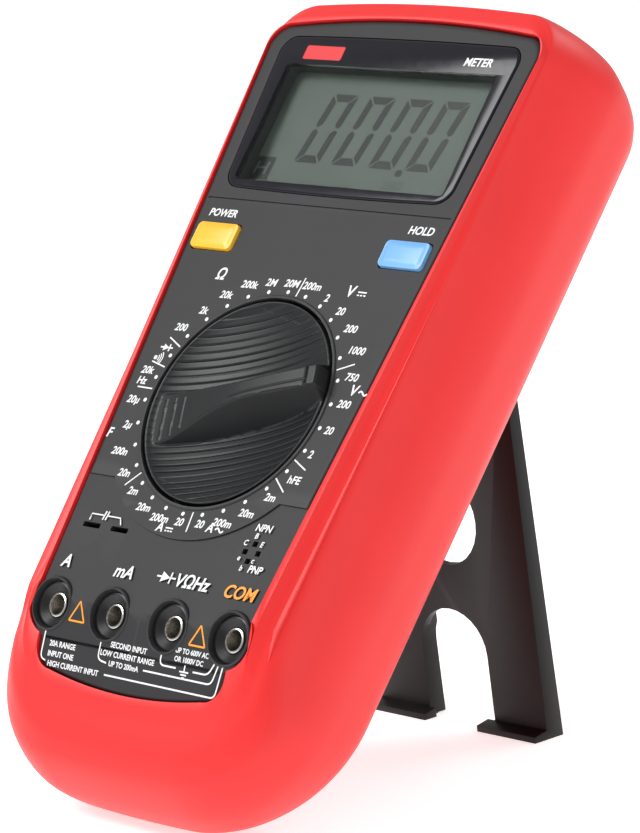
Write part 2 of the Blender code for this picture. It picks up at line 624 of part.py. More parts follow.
def add_switch_rotor(materials, knob_axis):
    top = -9.0 - 1.5
    rotor = add_solid("switch_rotor", turned_data(((ROTOR_RADIUS, -13.0), (ROTOR_RADIUS, top)), 32),
                      materials["white_plastic"], knob_axis)
    centre = prism_data(circle(HUB_RADIUS - 3.0 + FIT_GAP, 24), -14.0, top + 1.0)
    detents = []
    for side in (-1, 1):
        low, high = sorted((side * 12.6, side * (ROTOR_RADIUS + 0.2)))
        detents.append(box_data((low, -1.5, -13.5), (high, 1.5, top - 0.1)))
    add_tool("switch_rotor_cuts", joined_data(centre, *detents), rotor, "DIFFERENCE")
    for side, word in ((-1, "left"), (1, "right")):
        ball = Vector((side * (ROTOR_RADIUS - 0.7), 0.0, (top - 13.0) / 2))
        add_ball("detent_ball_" + word, ball, DETENT_RADIUS, materials["steel"], knob_axis)
        low, high = sorted((side * 13.0, side * (ROTOR_RADIUS - 2.3)))
        spring = loft_data([[(x, 0.9 * math.cos(a), ball.z + 0.9 * math.sin(a))
                             for a in [2 * math.pi * i / 10 for i in range(10)]] for x in (low, high)])
        add_solid("detent_spring_" + word, spring, materials["steel"], knob_axis)
    for index in range(3):
        angle = math.radians(90 + 120 * index)
        wiper = box_data((-3.2, -1.0, -13.7), (3.2, 1.0, -13.3))
        piece = add_solid(f"wiper_contact_{index + 1}", wiper, materials["nickel"], knob_axis)
        piece.location = Vector((11.0 * math.cos(angle), 11.0 * math.sin(angle), 0.0)) * MM
        piece.rotation_euler.z = angle + math.pi / 2


def add_ball(name, centre, radius, material, parent):
    profile = [(radius * math.cos(math.radians(a)), radius * math.sin(math.radians(a)))
               for a in (-75, -45, -15, 15, 45, 75)]
    return add_solid(name, turned_data(profile, 12), material, parent, tuple(centre))


def add_button(kind, material, materials, frame):
    """A cap that rides on its switch's plunger; the switch stands on the circuit board."""
    place = BUTTONS[kind]
    axis = bpy.data.objects.new(kind + "_button_axis", None)
    bpy.context.collection.objects.link(axis)
    axis.parent = frame
    axis.location = Vector((place[0], place[1], 0.0)) * MM
    cap = loft_data([[(x, y, z) for x, y in rounded_box([s - 2 * inset for s in BUTTON_SIZE], 1.1)] for inset, z in
                     ((0.0, PANEL_UNDERSIDE - 0.2), (0.0, BUTTON_TOP - 0.7), (0.3, BUTTON_TOP - 0.2),
                      (0.9, BUTTON_TOP))])
    add_solid(kind + "_button", cap, material, axis)
    plunger_top = PANEL_UNDERSIDE - 0.5
    switch_top = -8.6
    plunger = box_data((-1.5, -1.5, switch_top - 2.6), (1.5, 1.5, plunger_top))
    add_solid(kind + "_plunger", plunger, materials["white_plastic"], axis)
    body = add_solid(kind + "_switch", box_data((-4.0, -3.2, BOARD_TOP + FIT_GAP), (4.0, 3.2, switch_top)),
                     materials["black_plastic"], frame, (place[0], place[1], 0.0))
    shaft_hole = box_data((-1.8, -1.8, BOARD_TOP + 0.55), (1.8, 1.8, switch_top + 1.0))
    add_tool(kind + "_switch_hole", shaft_hole, body, "DIFFERENCE")


def add_jacks(materials, frame):
    """A black funnel in the panel, and a nickel sleeve below it that reaches through the board."""
    funnel_low = PANEL_UNDERSIDE - 1.8
    for name, x in zip(JACK_NAMES, JACK_X):
        ring = turned_data(((SHROUD_RADIUS, funnel_low), (SHROUD_RADIUS, SHROUD_TOP - 0.5),
                            (SHROUD_RADIUS - 0.4, SHROUD_TOP)), 20)
        shroud = add_solid("jack_shroud_" + name, tilted(ring, x), materials["black_plastic"], frame)
        dish = turned_data(((SLEEVE_RADIUS + 0.15, funnel_low - 1.0), (SLEEVE_RADIUS + 0.15, SLEEVE_TOP - 0.3),
                            (SLEEVE_RADIUS + 0.7, SLEEVE_TOP - 0.1), (SHROUD_RADIUS - 0.8, SHROUD_TOP - 0.7),
                            (SHROUD_RADIUS - 0.6, SHROUD_TOP + 0.6)), 20)
        add_tool("jack_dish_" + name, tilted(dish, x), shroud, "DIFFERENCE")
        tube = turned_data(((SLEEVE_RADIUS, SLEEVE_END), (SLEEVE_RADIUS, SLEEVE_TOP)), 20)
        sleeve = add_solid("jack_sleeve_" + name, tilted(tube, x), materials["nickel"], frame)
        bore = turned_data(((SLEEVE_BORE, SLEEVE_END + 1.5), (SLEEVE_BORE, SLEEVE_TOP + 1.0)), 16)
        add_tool("jack_bore_" + name, tilted(bore, x), sleeve, "DIFFERENCE")


def add_test_sockets(materials, frame):
    top = PANEL_UNDERSIDE - FIT_GAP
    x, y = TRANSISTOR_SOCKET
    block = add_solid("transistor_socket", box_data((x - 6.0, y - 6.0, BOARD_TOP + FIT_GAP), (x + 6.0, y + 6.0, top)),
                      materials["black_plastic"], frame)
    half = TRANSISTOR_HOLE / 2
    holes = [box_data((a - half, b - half, top - 5.0), (a + half, b + half, top + 1.0))
             for a, b in transistor_holes()]
    add_tool("transistor_socket_holes", joined_data(*holes), block, "DIFFERENCE")
    low, high = CAPACITOR_SLOTS_X
    strip = add_solid("capacitor_socket", box_data((low - 4.5, CAPACITOR_SLOT_Y - 2.4, BOARD_TOP + FIT_GAP),
                                                   (high + 4.5, CAPACITOR_SLOT_Y + 2.4, top)),
                      materials["black_plastic"], frame)
    slots = [box_data((a - CAPACITOR_SLOT[0] / 2, CAPACITOR_SLOT_Y - 0.65, top - 5.0),
                      (a + CAPACITOR_SLOT[0] / 2, CAPACITOR_SLOT_Y + 0.65, top + 1.0)) for a in CAPACITOR_SLOTS_X]
    add_tool("capacitor_socket_slots", joined_data(*slots), strip, "DIFFERENCE")


# ---------------------------------------------------------------- board and what is on it

def add_board(materials, frame):
    outline = plate_outline(35.5, 33.5, BOARD_UPPER, BOARD_LOWER, 2.0, 14.0, 0.0, 5)
    board = add_solid("main_board", prism_data(outline, BOARD_UNDERSIDE, BOARD_TOP), materials["circuit_board"], frame)
    low, high = BOARD_UNDERSIDE - 1.0, BOARD_TOP + 1.0
    sleeve_way = turned_data(((SLEEVE_RADIUS + FIT_GAP, SLEEVE_END), (SLEEVE_RADIUS + FIT_GAP, SLEEVE_TOP - 6.0)), 16)
    holes = [tilted(sleeve_way, x) for x in JACK_X]
    holes += [prism_data(circle(POST_RADIUS + 0.5, 12, place), low, high) for place in CASE_POSTS[2:]]
    holes += [prism_data(circle(SMALL_SCREW_RADIUS + FIT_GAP, 10, place), low, high) for place in BOARD_POSTS]
    add_tool("main_board_holes", joined_data(*holes), board, "DIFFERENCE")


def add_board_parts(materials, frame):
    top = BOARD_UNDERSIDE - FIT_GAP
    boxes = {
        "converter_chip": ((8.0, 8.0), (14.0, 14.0, 2.2), "black_plastic"),
        "clock_crystal": ((-12.0, 22.0), (11.0, 4.6, 3.6), "steel"),
        "trim_resistor": ((20.0, -10.0), (6.6, 6.6, 4.2), "blue_resin"),
        "resistor_network": ((-20.0, -6.0), (6.0, 20.0, 5.0), "blue_resin"),
    }
    for name, ((x, y), (sx, sy, sz), material) in boxes.items():
        add_solid(name, box_data((x - sx / 2, y - sy / 2, top - sz), (x + sx / 2, y + sy / 2, top)),
                  materials[material], frame)
    rounds = {
        "buzzer": ((-14.0, 40.0), 11.0, 4.5, "black_plastic"),
        "filter_capacitor": ((14.0, 42.0), 3.2, 8.0, "blue_resin"),
    }
    for name, (place, radius, height, material) in rounds.items():
        add_solid(name, turned_data(((radius, top - height), (radius, top)), 20, place), materials[material], frame)
    disc = [[(x, -36.0 + 4.5 * math.cos(a), top - 5.0 + 4.5 * math.sin(a)) for a in
             [2 * math.pi * i / 16 for i in range(16)]] for x in (-10.6, -8.4)]
    add_solid("resettable_fuse", loft_data(disc), materials["fuse_coating"], frame)
    shunt = ((12.0, -38.0, top), (12.0, -38.0, top - 5.0), (10.6, -38.0, top - 6.6), (0.0, -38.0, top - 7.2),
             (-2.6, -38.0, top - 6.6), (-4.0, -38.0, top - 5.0), (-4.0, -38.0, top))
    add_wire("current_shunt", shunt, 0.9, materials["manganin"], frame)


def add_wire(name, route, radius, material, parent):
    """A round wire with closed ends along a list of points."""
    curve = bpy.data.curves.new(name, "CURVE")
    curve.dimensions = "3D"
    curve.bevel_depth = radius * MM
    curve.bevel_resolution = 2
    curve.use_fill_caps = True
    curve.render_resolution_u = 0
    spline = curve.splines.new("POLY")
    spline.points.add(len(route) - 1)
    for point, place in zip(spline.points, route):
        point.co = (*(Vector(place) * MM), 1.0)
    wire = bpy.data.objects.new(name, curve)
    bpy.context.collection.objects.link(wire)
    wire.parent = parent
    curve.materials.append(material)
    return wire


def smooth_route(points, samples=5):
    """A Catmull-Rom curve through the points."""
    route = []
    padded = [points[0], *points, points[-1]]
    for i in range(len(points) - 1):
        a, b, c, d = (Vector(p) for p in padded[i:i + 4])
        for k in range(samples):
            t = k / samples
            route.append(0.5 * (2 * b + (c - a) * t + (2 * a - 5 * b + 4 * c - d) * t ** 2
                                + (3 * b - a - 3 * c + d) * t ** 3))
    route.append(Vector(points[-1]))
    return route


def add_battery(materials, frame):
    cx, cy, cz = BATTERY_CENTRE
    length, thickness, width = BATTERY
    outline = rounded_box((length, width), 2.0)
    add_solid("battery", prism_data(moved(outline, (cx, cy)), cz - thickness / 2, cz + thickness / 2),
              materials["battery_wrap"], frame)
    end = cx + length / 2 + FIT_GAP
    snap = box_data((end, cy - 12.5, cz - 6.5), (end + 4.0, cy + 12.5, cz + 6.5))
    add_solid("battery_snap", snap, materials["black_plastic"], frame)
    leads = (("battery_lead_red", cy - 5.0, cz + 1.2, 30.5, "red_wire"),
             ("battery_lead_black", cy - 8.5, cz - 1.4, 25.5, "black_wire"))
    for name, y, z, target, wire in leads:
        points = ((end + 4.4, y, z), (end + 7.2, y - 1.5, z), (end + 7.4, y - 9.0, z), (end + 4.0, y - 17.0, z),
                  (target, 44.0, z + 1.0), (target, 41.2, z + 3.2), (target, 41.0, BOARD_UNDERSIDE - FIT_GAP))
        add_wire(name, smooth_route(points, 3), 0.65, materials[wire], frame)


def add_screws(materials, frame):
    """Pan head screws: four from the back hold the case shut, three hold the board."""
    for index, (x, y) in enumerate(CASE_POSTS):
        head = CASE_BACK + 2.0
        profile = ((SCREW_HEAD_RADIUS, head - 1.0), (SCREW_HEAD_RADIUS, head + 1.5),
                   (SCREW_RADIUS, head + 1.5), (SCREW_RADIUS, screw_end((x, y))))
        add_solid(f"case_screw_{index + 1}", turned_data(profile, 8), materials["steel"], frame, (x, y, 0.0))
    for index, (x, y) in enumerate(BOARD_POSTS):
        seat = BOARD_UNDERSIDE - FIT_GAP
        profile = ((2.4, seat - 1.6), (2.4, seat), (SMALL_SCREW_RADIUS, seat), (SMALL_SCREW_RADIUS, BOARD_TOP + 5.0))
        add_solid(f"board_screw_{index + 1}", turned_data(profile, 8), materials["steel"], frame, (x, y, 0.0))


# ---------------------------------------------------------------- stand

def floor_depth():
    """How far the holster's lowest point lies below the dial's centre, in the leaning pose."""
    lean = math.radians(LEAN)
    lowest = min(y * math.cos(lean) + z * math.sin(lean)
                 for section in HOLSTER_SECTIONS for _, y, z in holster_ring(*section))
    return -lowest


def stand_length():
    """From the hinge axis to the floor along the open stand."""
    lean = math.radians(LEAN)
    hinge_height = floor_depth() + HINGE_Y * math.cos(lean) + HINGE_Z * math.sin(lean)
    return hinge_height / math.cos(math.radians(STAND_OPENING - LEAN))


def add_stand(materials, stand_axis):
    """The stand in its own frame: x across, y up along the plate, z towards the meter; the hinge is at 0."""
    tilt = math.tan(math.radians(STAND_OPENING - LEAN))
    length = stand_length()
    face = -STAND_FACE
    top = HINGE_TUBE_RADIUS - 0.4
    rear_foot = face - STAND_DEPTH_FOOT
    lip_front = face + STAND_LIP

    def sole(z):
        """The floor's y at depth z: the sole is cut level in the leaning pose."""
        return -length + z * tilt

    side = [(sole(rear_foot), rear_foot), (top, face - STAND_DEPTH_TOP), (top, face),
            (sole(face) + STAND_LIP_THICKNESS + 0.8, face), (sole(lip_front) + STAND_LIP_THICKNESS, lip_front),
            (sole(lip_front), lip_front)]
    stand = add_solid("kickstand", loft_data([[(x, y, z) for y, z in side] for x in (-STAND_HALF, STAND_HALF)]),
                      materials["stand_plastic"], stand_axis)
    inner = STAND_HALF - STAND_RIB
    pocket = box_data((-inner, -length - 6.0, -20.0), (inner, -4.0, face - STAND_PLATE))
    add_tool("kickstand_pocket", pocket, stand, "DIFFERENCE")
    ribs = []
    for x_low, x_high in ((-STAND_ARCH_HALF - 1.6, 1.0 - STAND_ARCH_HALF), (STAND_ARCH_HALF - 1.0, STAND_ARCH_HALF + 1.6)):
        ring = ((x_low, face - 1.0), (x_high, face - 1.0), (x_high, rear_foot + 0.4), (x_low, rear_foot + 0.4))
        ribs.append(loft_data([[(x, sole(z) + 0.2, z) for x, z in ring],
                               [(x, 3.0 - STAND_ARCH_TOP, z) for x, z in ring]]))
    add_tool("kickstand_ribs", joined_data(*ribs), stand, "UNION")
    add_tool("kickstand_tube", bar_data(HINGE_TUBE_RADIUS, HINGE_TUBE_HALF, 16), stand, "UNION")
    add_tool("kickstand_stubs", bar_data(HINGE_STUB_RADIUS, HINGE_STUB_HALF, 12), stand, "UNION")
    distance, radius = STAND_HOLE
    hole = prism_data(circle(radius, 28, (0.0, -distance)), -20.0, 10.0)
    arch = [(-STAND_ARCH_HALF, -length - 8.0), (STAND_ARCH_HALF, -length - 8.0)]
    for i in range(15):
        angle = math.pi * i / 14
        arch.append((STAND_ARCH_HALF * math.cos(angle),
                     -STAND_ARCH_TOP - STAND_ARCH_HALF + STAND_ARCH_HALF * math.sin(angle)))
    add_tool("kickstand_openings", joined_data(hole, prism_data(arch, -20.0, face + 0.3)), stand, "DIFFERENCE")
    lip_gap = STAND_ARCH_HALF - 2.0
    gap = box_data((-lip_gap, -length - 6.0, face - 1.0), (lip_gap, -length + 6.0, lip_front + 2.0))
    add_tool("kickstand_lip_gap", gap, stand, "DIFFERENCE")


def bar_data(radius, half_length, steps):
    """A round bar along x, centred on the origin."""
    angles = [2 * math.pi * i / steps for i in range(steps)]
    return loft_data([[(x, radius * math.cos(a), radius * math.sin(a)) for a in angles]
                      for x in (-half_length, half_length)])


# ---------------------------------------------------------------- the whole meter

def add_axis(name, parent, place, tilt=0.0):
    axis = bpy.data.objects.new(name, None)
    bpy.context.collection.objects.link(axis)
    axis.parent = parent
    axis.location = Vector(place) * MM
    axis.rotation_euler.x = math.radians(tilt)
    return axis


def centre_on_floor(frame):
    """Moves the meter's frame so that the whole object stands on z = 0, centred over the origin."""
    bpy.context.view_layer.update()
    depsgraph = bpy.context.evaluated_depsgraph_get()
    corners = []
    for piece in bpy.data.objects:
        if piece.type in {"MESH", "CURVE"} and not piece.hide_render:
            shown = piece.evaluated_get(depsgraph)
            mesh = shown.to_mesh()
            corners += [shown.matrix_world @ vertex.co for vertex in mesh.vertices]
            shown.to_mesh_clear()
    low = Vector([min(c[i] for c in corners) for i in range(3)])
    high = Vector([max(c[i] for c in corners) for i in range(3)])
    middle = (low + high) / 2
    frame.location -= Vector((middle.x, middle.y, low.z))
    bpy.context.view_layer.update()


def main():
    clear_scene()
    materials = make_materials()
    frame = add_axis("meter_frame", None, (0.0, 0.0, 0.0), 90.0 - LEAN)
    add_holster(materials, frame)
    add_front_case(materials, frame)
    add_rear_case(materials, frame)
    add_battery_door(materials, frame)
    add_display(materials, frame)
    knob_axis = add_axis("knob_axis", frame, (0.0, 0.0, 0.0))
    add_knob(materials, knob_axis)
    add_switch_rotor(materials, knob_axis)
    add_button("power", materials["yellow_plastic"], materials, frame)
    add_button("hold", materials["blue_plastic"], materials, frame)
    add_jacks(materials, frame)
    add_test_sockets(materials, frame)
    add_board(materials, frame)
    add_board_parts(materials, frame)
    add_battery(materials, frame)
    add_screws(materials, frame)
    stand_axis = add_axis("stand_axis", frame, (0.0, HINGE_Y, HINGE_Z), STAND_OPENING)
    add_stand(materials, stand_axis)
    centre_on_floor(frame)


main()
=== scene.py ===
"""The looks of a holstered bench multimeter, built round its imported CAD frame.

Lengths are in millimetres in the meter's own tilted frame, unless a name says otherwise: x to the right
across the panel, y up along it, z out of it, with the origin at the middle of the range dial.
"""

import json
import math

import bpy
from mathutils import Matrix, Vector


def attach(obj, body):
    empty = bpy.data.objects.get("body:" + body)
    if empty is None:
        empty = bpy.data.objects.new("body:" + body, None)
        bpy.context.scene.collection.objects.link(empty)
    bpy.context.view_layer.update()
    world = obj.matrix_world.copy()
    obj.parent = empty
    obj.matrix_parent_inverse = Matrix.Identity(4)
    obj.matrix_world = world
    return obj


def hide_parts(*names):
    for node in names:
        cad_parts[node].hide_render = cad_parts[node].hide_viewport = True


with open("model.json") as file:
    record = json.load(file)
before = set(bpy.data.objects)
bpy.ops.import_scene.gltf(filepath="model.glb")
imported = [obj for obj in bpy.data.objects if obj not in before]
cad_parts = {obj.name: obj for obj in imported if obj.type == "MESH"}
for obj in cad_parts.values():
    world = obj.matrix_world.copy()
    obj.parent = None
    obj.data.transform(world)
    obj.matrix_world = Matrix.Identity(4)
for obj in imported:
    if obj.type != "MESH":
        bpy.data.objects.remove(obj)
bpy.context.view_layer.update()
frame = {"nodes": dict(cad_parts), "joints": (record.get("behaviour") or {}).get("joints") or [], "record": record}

MM = 0.001

# Places that come from the frame
JOINTS = {joint["name"]: joint for joint in frame["joints"]}
OUT = Vector(JOINTS["range_knob_turn"]["axis"]).normalized()
RIGHT = Vector((1.0, 0.0, 0.0))
UP = OUT.cross(RIGHT)
DIAL_CENTRE = Vector(JOINTS["range_knob_turn"]["pos_m"])
PANEL = (Matrix.Translation(DIAL_CENTRE) @ Matrix((RIGHT, UP, OUT)).transposed().to_4x4()
         @ Matrix.Scale(MM, 4))
HINGE = PANEL.inverted() @ Vector(JOINTS["kickstand_hinge"]["pos_m"])
STAND_OPENING = math.radians(JOINTS["kickstand_hinge"]["range_deg"][1])
STAND = PANEL @ Matrix.Translation(HINGE) @ Matrix.Rotation(STAND_OPENING, 4, "X")

# The lower end of the panel slopes back from here, with the jacks
BEND_Y = -50.0
BEND_SLOPE = 0.33
BEND_EASE = 3.0

# Holster: z at the dial's height, slope of z along y, half widths at top and bottom, top, bottom,
# corner radii at top and bottom, and the share of the lower end's slope that the section follows
HOLSTER_SECTIONS = (
    (0.3, 0.0, 43.6, 35.0, 101.6, -72.4, 9.0, 12.0, 1.0),
    (-1.4, 0.006, 44.0, 37.0, 104.4, -79.0, 11.0, 19.0, 0.7),
    (-3.6, 0.012, 44.8, 40.7, 106.3, -84.0, 12.0, 23.0, 0.5),
    (-11.0, 0.004, 47.2, 44.6, 107.4, -88.0, 12.0, 25.5, 0.1),
    (-20.0, 0.0, 48.5, 46.0, 107.5, -91.4, 12.0, 28.5, 0.0),
    (-27.5, 0.0, 47.7, 45.0, 106.4, -91.0, 12.0, 31.0, 0.0),
    (-33.0, 0.0, 46.7, 43.7, 104.8, -88.8, 12.0, 31.5, 0.0),
    (-36.0, 0.0, 45.4, 42.5, 103.0, -86.4, 11.0, 30.0, 0.0),
    (-38.6, 0.0, 43.4, 40.4, 100.8, -83.6, 9.5, 28.0, 0.0),
    (-40.0, 0.0, 40.6, 37.6, 98.0, -80.0, 8.0, 26.0, 0.0),
)
HOLSTER_BACK = HOLSTER_SECTIONS[-1][0]
HOLSTER_SAG = 2.4                    # how much the ends' middles bulge
LIP_THICKNESS = 2.2
CASE_BACK = -34.0
FIT_GAP = 0.3

# The holster's opening, and the notches in its cheeks round the outer jacks
OPENING_TOP = 100.8
OPENING_BOTTOM = -70.6
OPENING_TOP_HALF = 43.0
OPENING_SHOULDER = (33.4, -58.5)
OPENING_CHEEK_HALF = 30.2
OPENING_RADIUS = 5.5
OPENING_BOW = 2.2
JACK_NOTCH_RADIUS = 6.9
STAND_LENGTH = 99.6                  # from the hinge to the foot lips' ends

# Plates: half widths at top and bottom, top, bottom, corner radii at top and bottom
CASE_SHAPE = (44.4, 38.9, 101.6, -78.0, 8.0, 22.0)
LENS_SHAPE = (38.1, 35.5, 95.3, 53.4, 4.5, 4.5)
LENS_SAG = 0.6

CASE_WALL = 2.0
CUT_TOP = 4.0                        # cutters through the panel end above it here
CUT_LOW = -9.0                       # and below it here
VIEW_SIZE = (66.4, 31.6)             # the clear part of the window
VIEW_CENTRE = (0.0, 71.6)
LCD_SIZE = (69.2, 34.6)
LCD_CENTRE = (0.0, 71.9)
LCD_TOP = -4.3

LOWER_ZONE = (34.6, -22.3, -0.4)     # radius of the dial's raised field, the zone's upper edge, its floor
DIAL_WELL_RADIUS = 26.5
DIAL_BEAD_STEPS = 160
KNOB_RADIUS = 25.7
POINTER_ANGLE = math.radians(17.3)
RIDGE_PITCH = 1.8
MARK_RADIUS = 28.4
MARK_COUNT = 30
FIRST_MARK = math.radians(-59.3)     # clockwise from straight up

JACK_Y = -54.3
JACK_SINK = 0.8                      # how far the shrouds lie below the sloping surface
JACK_X = (-28.575, -9.525, 9.525, 28.575)
JACK_NAMES = ("20a", "ma", "volt_ohm", "common")
JACK_TILT = math.radians(15.0)
JACK_COLLAR = ((6.5, -4.4), (6.4, 0.3), (6.25, 0.75), (6.0, 0.95), (5.4, 0.97))      # radius, z
JACK_BORE = ((5.35, -9.0), (5.35, -0.15), (5.75, 0.9), (6.0, 1.5))
BUTTON_SIZE = (13.4, 6.8)
BUTTON_PLACES = {"power": (-30.2, 40.4), "hold": (30.2, 40.4)}


# ---------------------------------------------------------------- shapes

def bend(y):
    """How far the front surface lies below the panel's plane at this height."""
    run = max(0.0, BEND_Y - y)
    return BEND_SLOPE * run * run / (run + BEND_EASE)


def loft(rings):
    """Points and faces through rings of equal length; the first ring is the lowest."""
    count = len(rings[0])
    points = [p for ring in rings for p in ring]
    faces = []
    for level in range(len(rings) - 1):
        for i in range(count):
            j = (i + 1) % count
            low = level * count
            faces.append((low + i, low + j, low + count + j, low + count + i))
    faces.append(tuple(reversed(range(count))))
    faces.append(tuple(range(len(points) - count, len(points))))
    return points, faces


def prism(shape, low, high):
    """A flat outline as a solid between two heights."""
    return loft([[(x, y, z) for x, y in shape] for z in (low, high)])


def stepped(outline_at, steps):
    """A solid through outlines: each step is an inset, for the function outline_at, and a z."""
    return loft([[(x, y, z) for x, y in outline_at(inset)] for inset, z in steps])


def turned(profile, steps=96):
    """A solid of revolution about z through (radius, z) pairs, lowest first."""
    return loft([[(r * math.cos(math.tau * i / steps), r * math.sin(math.tau * i / steps), z)
                  for i in range(steps)] for r, z in profile])


def circle(radius, centre, steps):
    return [(centre[0] + radius * math.cos(math.tau * i / steps),
             centre[1] + radius * math.sin(math.tau * i / steps)) for i in range(steps)]


def rounded(width, height, radius, centre, steps=8):
    """A rectangle with round corners, anticlockwise."""
    outline = []
    corners = ((1, 1, 0.0), (-1, 1, 0.25), (-1, -1, 0.5), (1, -1, 0.75))
    for sx, sy, start in corners:
        for i in range(steps):
            angle = math.tau * (start + 0.25 * i / (steps - 1))
            outline.append((centre[0] + sx * (width / 2 - radius) + radius * math.cos(angle),
                            centre[1] + sy * (height / 2 - radius) + radius * math.sin(angle)))
    return outline


def arc(centre, radius, start, end, steps=16):
    """Points along part of a circle, both ends included."""
    return [(centre[0] + radius * math.cos(start + (end - start) * i / steps),
             centre[1] + radius * math.sin(start + (end - start) * i / steps)) for i in range(steps + 1)]


def together(shapes):
    """Several closed shapes as one list of points and faces."""
    points = []
    faces = []
    for shape_points, shape_faces in shapes:
        start = len(points)
        points.extend(shape_points)
        faces.extend(tuple(start + i for i in face) for face in shape_faces)
    return points, faces


def mirrored(half):
    """A closed outline from its right half, which runs from the bottom centre to the top centre."""
    return half + [(-x, y) for x, y in reversed(half[1:-1])]


def plate_half(shape, inset=0.0, sag=HOLSTER_SAG):
    """The right half of a tapering plate's outline, as five runs of points."""
    top_half, bottom_half, top, bottom, top_radius, bottom_radius = shape
    top_half -= inset
    bottom_half -= inset
    top -= inset
    bottom += inset
    top_radius -= inset / 2
    bottom_radius -= inset / 2
    flat_bottom = bottom_half - bottom_radius
    flat_top = top_half - top_radius
    low = bottom + sag * (flat_bottom / bottom_half) ** 2 + bottom_radius
    high = top - sag * (flat_top / top_half) ** 2 - top_radius

    def side(y):
        return bottom_half + (top_half - bottom_half) * (y - bottom) / (top - bottom)

    def quarter(t):
        return math.pi / 2 * t

    steps = [i / 24 for i in range(25)]
    return (
        [(flat_bottom * t, bottom + sag * (flat_bottom * t / bottom_half) ** 2) for t in steps],
        [(flat_bottom + (side(low) - flat_bottom) * math.sin(quarter(t)),
          low - bottom_radius * math.cos(quarter(t))) for t in steps],
        [(side(low), low), (side(high), high)],
        [(flat_top + (side(high) - flat_top) * math.cos(quarter(t)),
          high + top_radius * math.sin(quarter(t))) for t in steps],
        [(flat_top * (1 - t), top - sag * (flat_top * (1 - t) / top_half) ** 2) for t in steps],
    )


def opening_half(inset=0.0, notched=True):
    """The right half of the holster's opening, in five runs; its cheeks close in below the jacks."""
    cheek = OPENING_CHEEK_HALF - inset
    bottom = OPENING_BOTTOM + inset
    radius = OPENING_RADIUS
    top = OPENING_TOP - inset
    top_half = OPENING_TOP_HALF - inset
    shoulder = (OPENING_SHOULDER[0] - inset, OPENING_SHOULDER[1] - inset)
    high = top - HOLSTER_SAG - radius
    slope = (top_half - shoulder[0]) / (high - shoulder[1])
    corner = arc((cheek - radius, bottom + OPENING_BOW + radius), radius, -math.pi / 2, 0.0)
    if notched:
        notch_radius = JACK_NOTCH_RADIUS - inset
        centre = (JACK_X[3], JACK_Y)
        start = -math.acos((cheek - centre[0]) / notch_radius)
        end = math.acos((shoulder[0] + slope * 10.0 - centre[0]) / notch_radius)
        notch = arc(centre, notch_radius, start, end, 24)
        corner += notch
        foot = notch[-1]
    else:
        corner += [(cheek, shoulder[1] - 2.0), shoulder]
        foot = shoulder
    steps = [i / 24 for i in range(25)]
    return (
        [((cheek - radius) * t, bottom + OPENING_BOW * t * t) for t in steps],
        corner,
        [foot, (top_half, high)],
        arc((top_half - radius, high), radius, 0.0, math.pi / 2),
        [((top_half - radius) * (1 - t), top - HOLSTER_SAG * (1 - t) ** 2) for t in steps],
    )


RUN_COUNTS = (14, 44, 60, 14, 16)    # points along each of the five runs


def spaced(run, count):
    """Points at equal steps along a run, without its last point."""
    lengths = [0.0]
    for a, b in zip(run, run[1:]):
        lengths.append(lengths[-1] + math.dist(a, b))
    result = []
    k = 0
    for i in range(count):
        want = lengths[-1] * i / count
        while lengths[k + 1] < want:
            k += 1
        t = (want - lengths[k]) / max(lengths[k + 1] - lengths[k], 1e-9)
        result.append(tuple(a + (b - a) * t for a, b in zip(run[k], run[k + 1])))
    return result


def outline(half):
    """The closed outline of a half, with the same number of points for every half."""
    points = [p for run, count in zip(half, RUN_COUNTS) for p in spaced(run, count)]
    return mirrored(points + [half[-1][-1]])


def eased(values, t):
    """A Catmull-Rom curve through equally spaced tuples, at position t."""
    k = min(int(t), len(values) - 2)
    f = t - k
    a, b, c, d = (values[max(0, min(len(values) - 1, k + i))] for i in (-1, 0, 1, 2))
    return tuple(0.5 * (2 * q + (r - p) * f + (2 * p - 5 * q + 4 * r - s) * f ** 2
                        + (3 * q - p - 3 * r + s) * f ** 3) for p, q, r, s in zip(a, b, c, d))


# ---------------------------------------------------------------- pieces

def make_mesh(name, shape, place):
    """A mesh in metres from points and faces in a place's own millimetres."""
    points, faces = shape
    mesh = bpy.data.meshes.new(name)
    mesh.from_pydata([place @ Vector(p) for p in points], [], faces)
    mesh.update()
    return mesh


def add_piece(name, shape, material, body="meter", stands_for=(), place=PANEL, smooth=35.0):
    """A visible piece that rides on a body of the frame and may stand for some of its nodes."""
    piece = bpy.data.objects.new(name, make_mesh(name, shape, place))
    bpy.context.scene.collection.objects.link(piece)
    piece.data.materials.append(material)
    shade(piece, smooth)
    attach(piece, body)
    if stands_for:
        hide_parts(*stands_for)
    return piece


def shade(piece, angle):
    """Smooth shading, with edges sharper than the angle kept sharp."""
    piece.data.shade_smooth()
    piece.data.set_sharp_from_angle(angle=math.radians(angle))


def settle(piece):
    """Applies a piece's modifiers."""
    depsgraph = bpy.context.evaluated_depsgraph_get()
    mesh = bpy.data.meshes.new_from_object(piece.evaluated_get(depsgraph))
    old = piece.data
    piece.modifiers.clear()
    piece.data = mesh
    bpy.data.meshes.remove(old)


def combine(piece, shapes, operation, place=PANEL, smooth=35.0):
    """Cuts shapes from a piece, or joins them to it."""
    tool = bpy.data.objects.new("tool", make_mesh("tool", together(shapes), place))
    bpy.context.scene.collection.objects.link(tool)
    modifier = piece.modifiers.new("combine", "BOOLEAN")
    modifier.operation = operation
    modifier.solver = "EXACT"
    modifier.object = tool
    settle(piece)
    bpy.data.objects.remove(tool)
    shade(piece, smooth)


def soften(piece, width, segments):
    """Rounds a piece's sharp edges; width is in metres."""
    modifier = piece.modifiers.new("soften", "BEVEL")
    modifier.width = width
    modifier.segments = segments
    modifier.limit_method = "ANGLE"
    modifier.angle_limit = math.radians(30.0)
    modifier.use_clamp_overlap = True
    modifier.harden_normals = False
    settle(piece)
    shade(piece, 40.0)


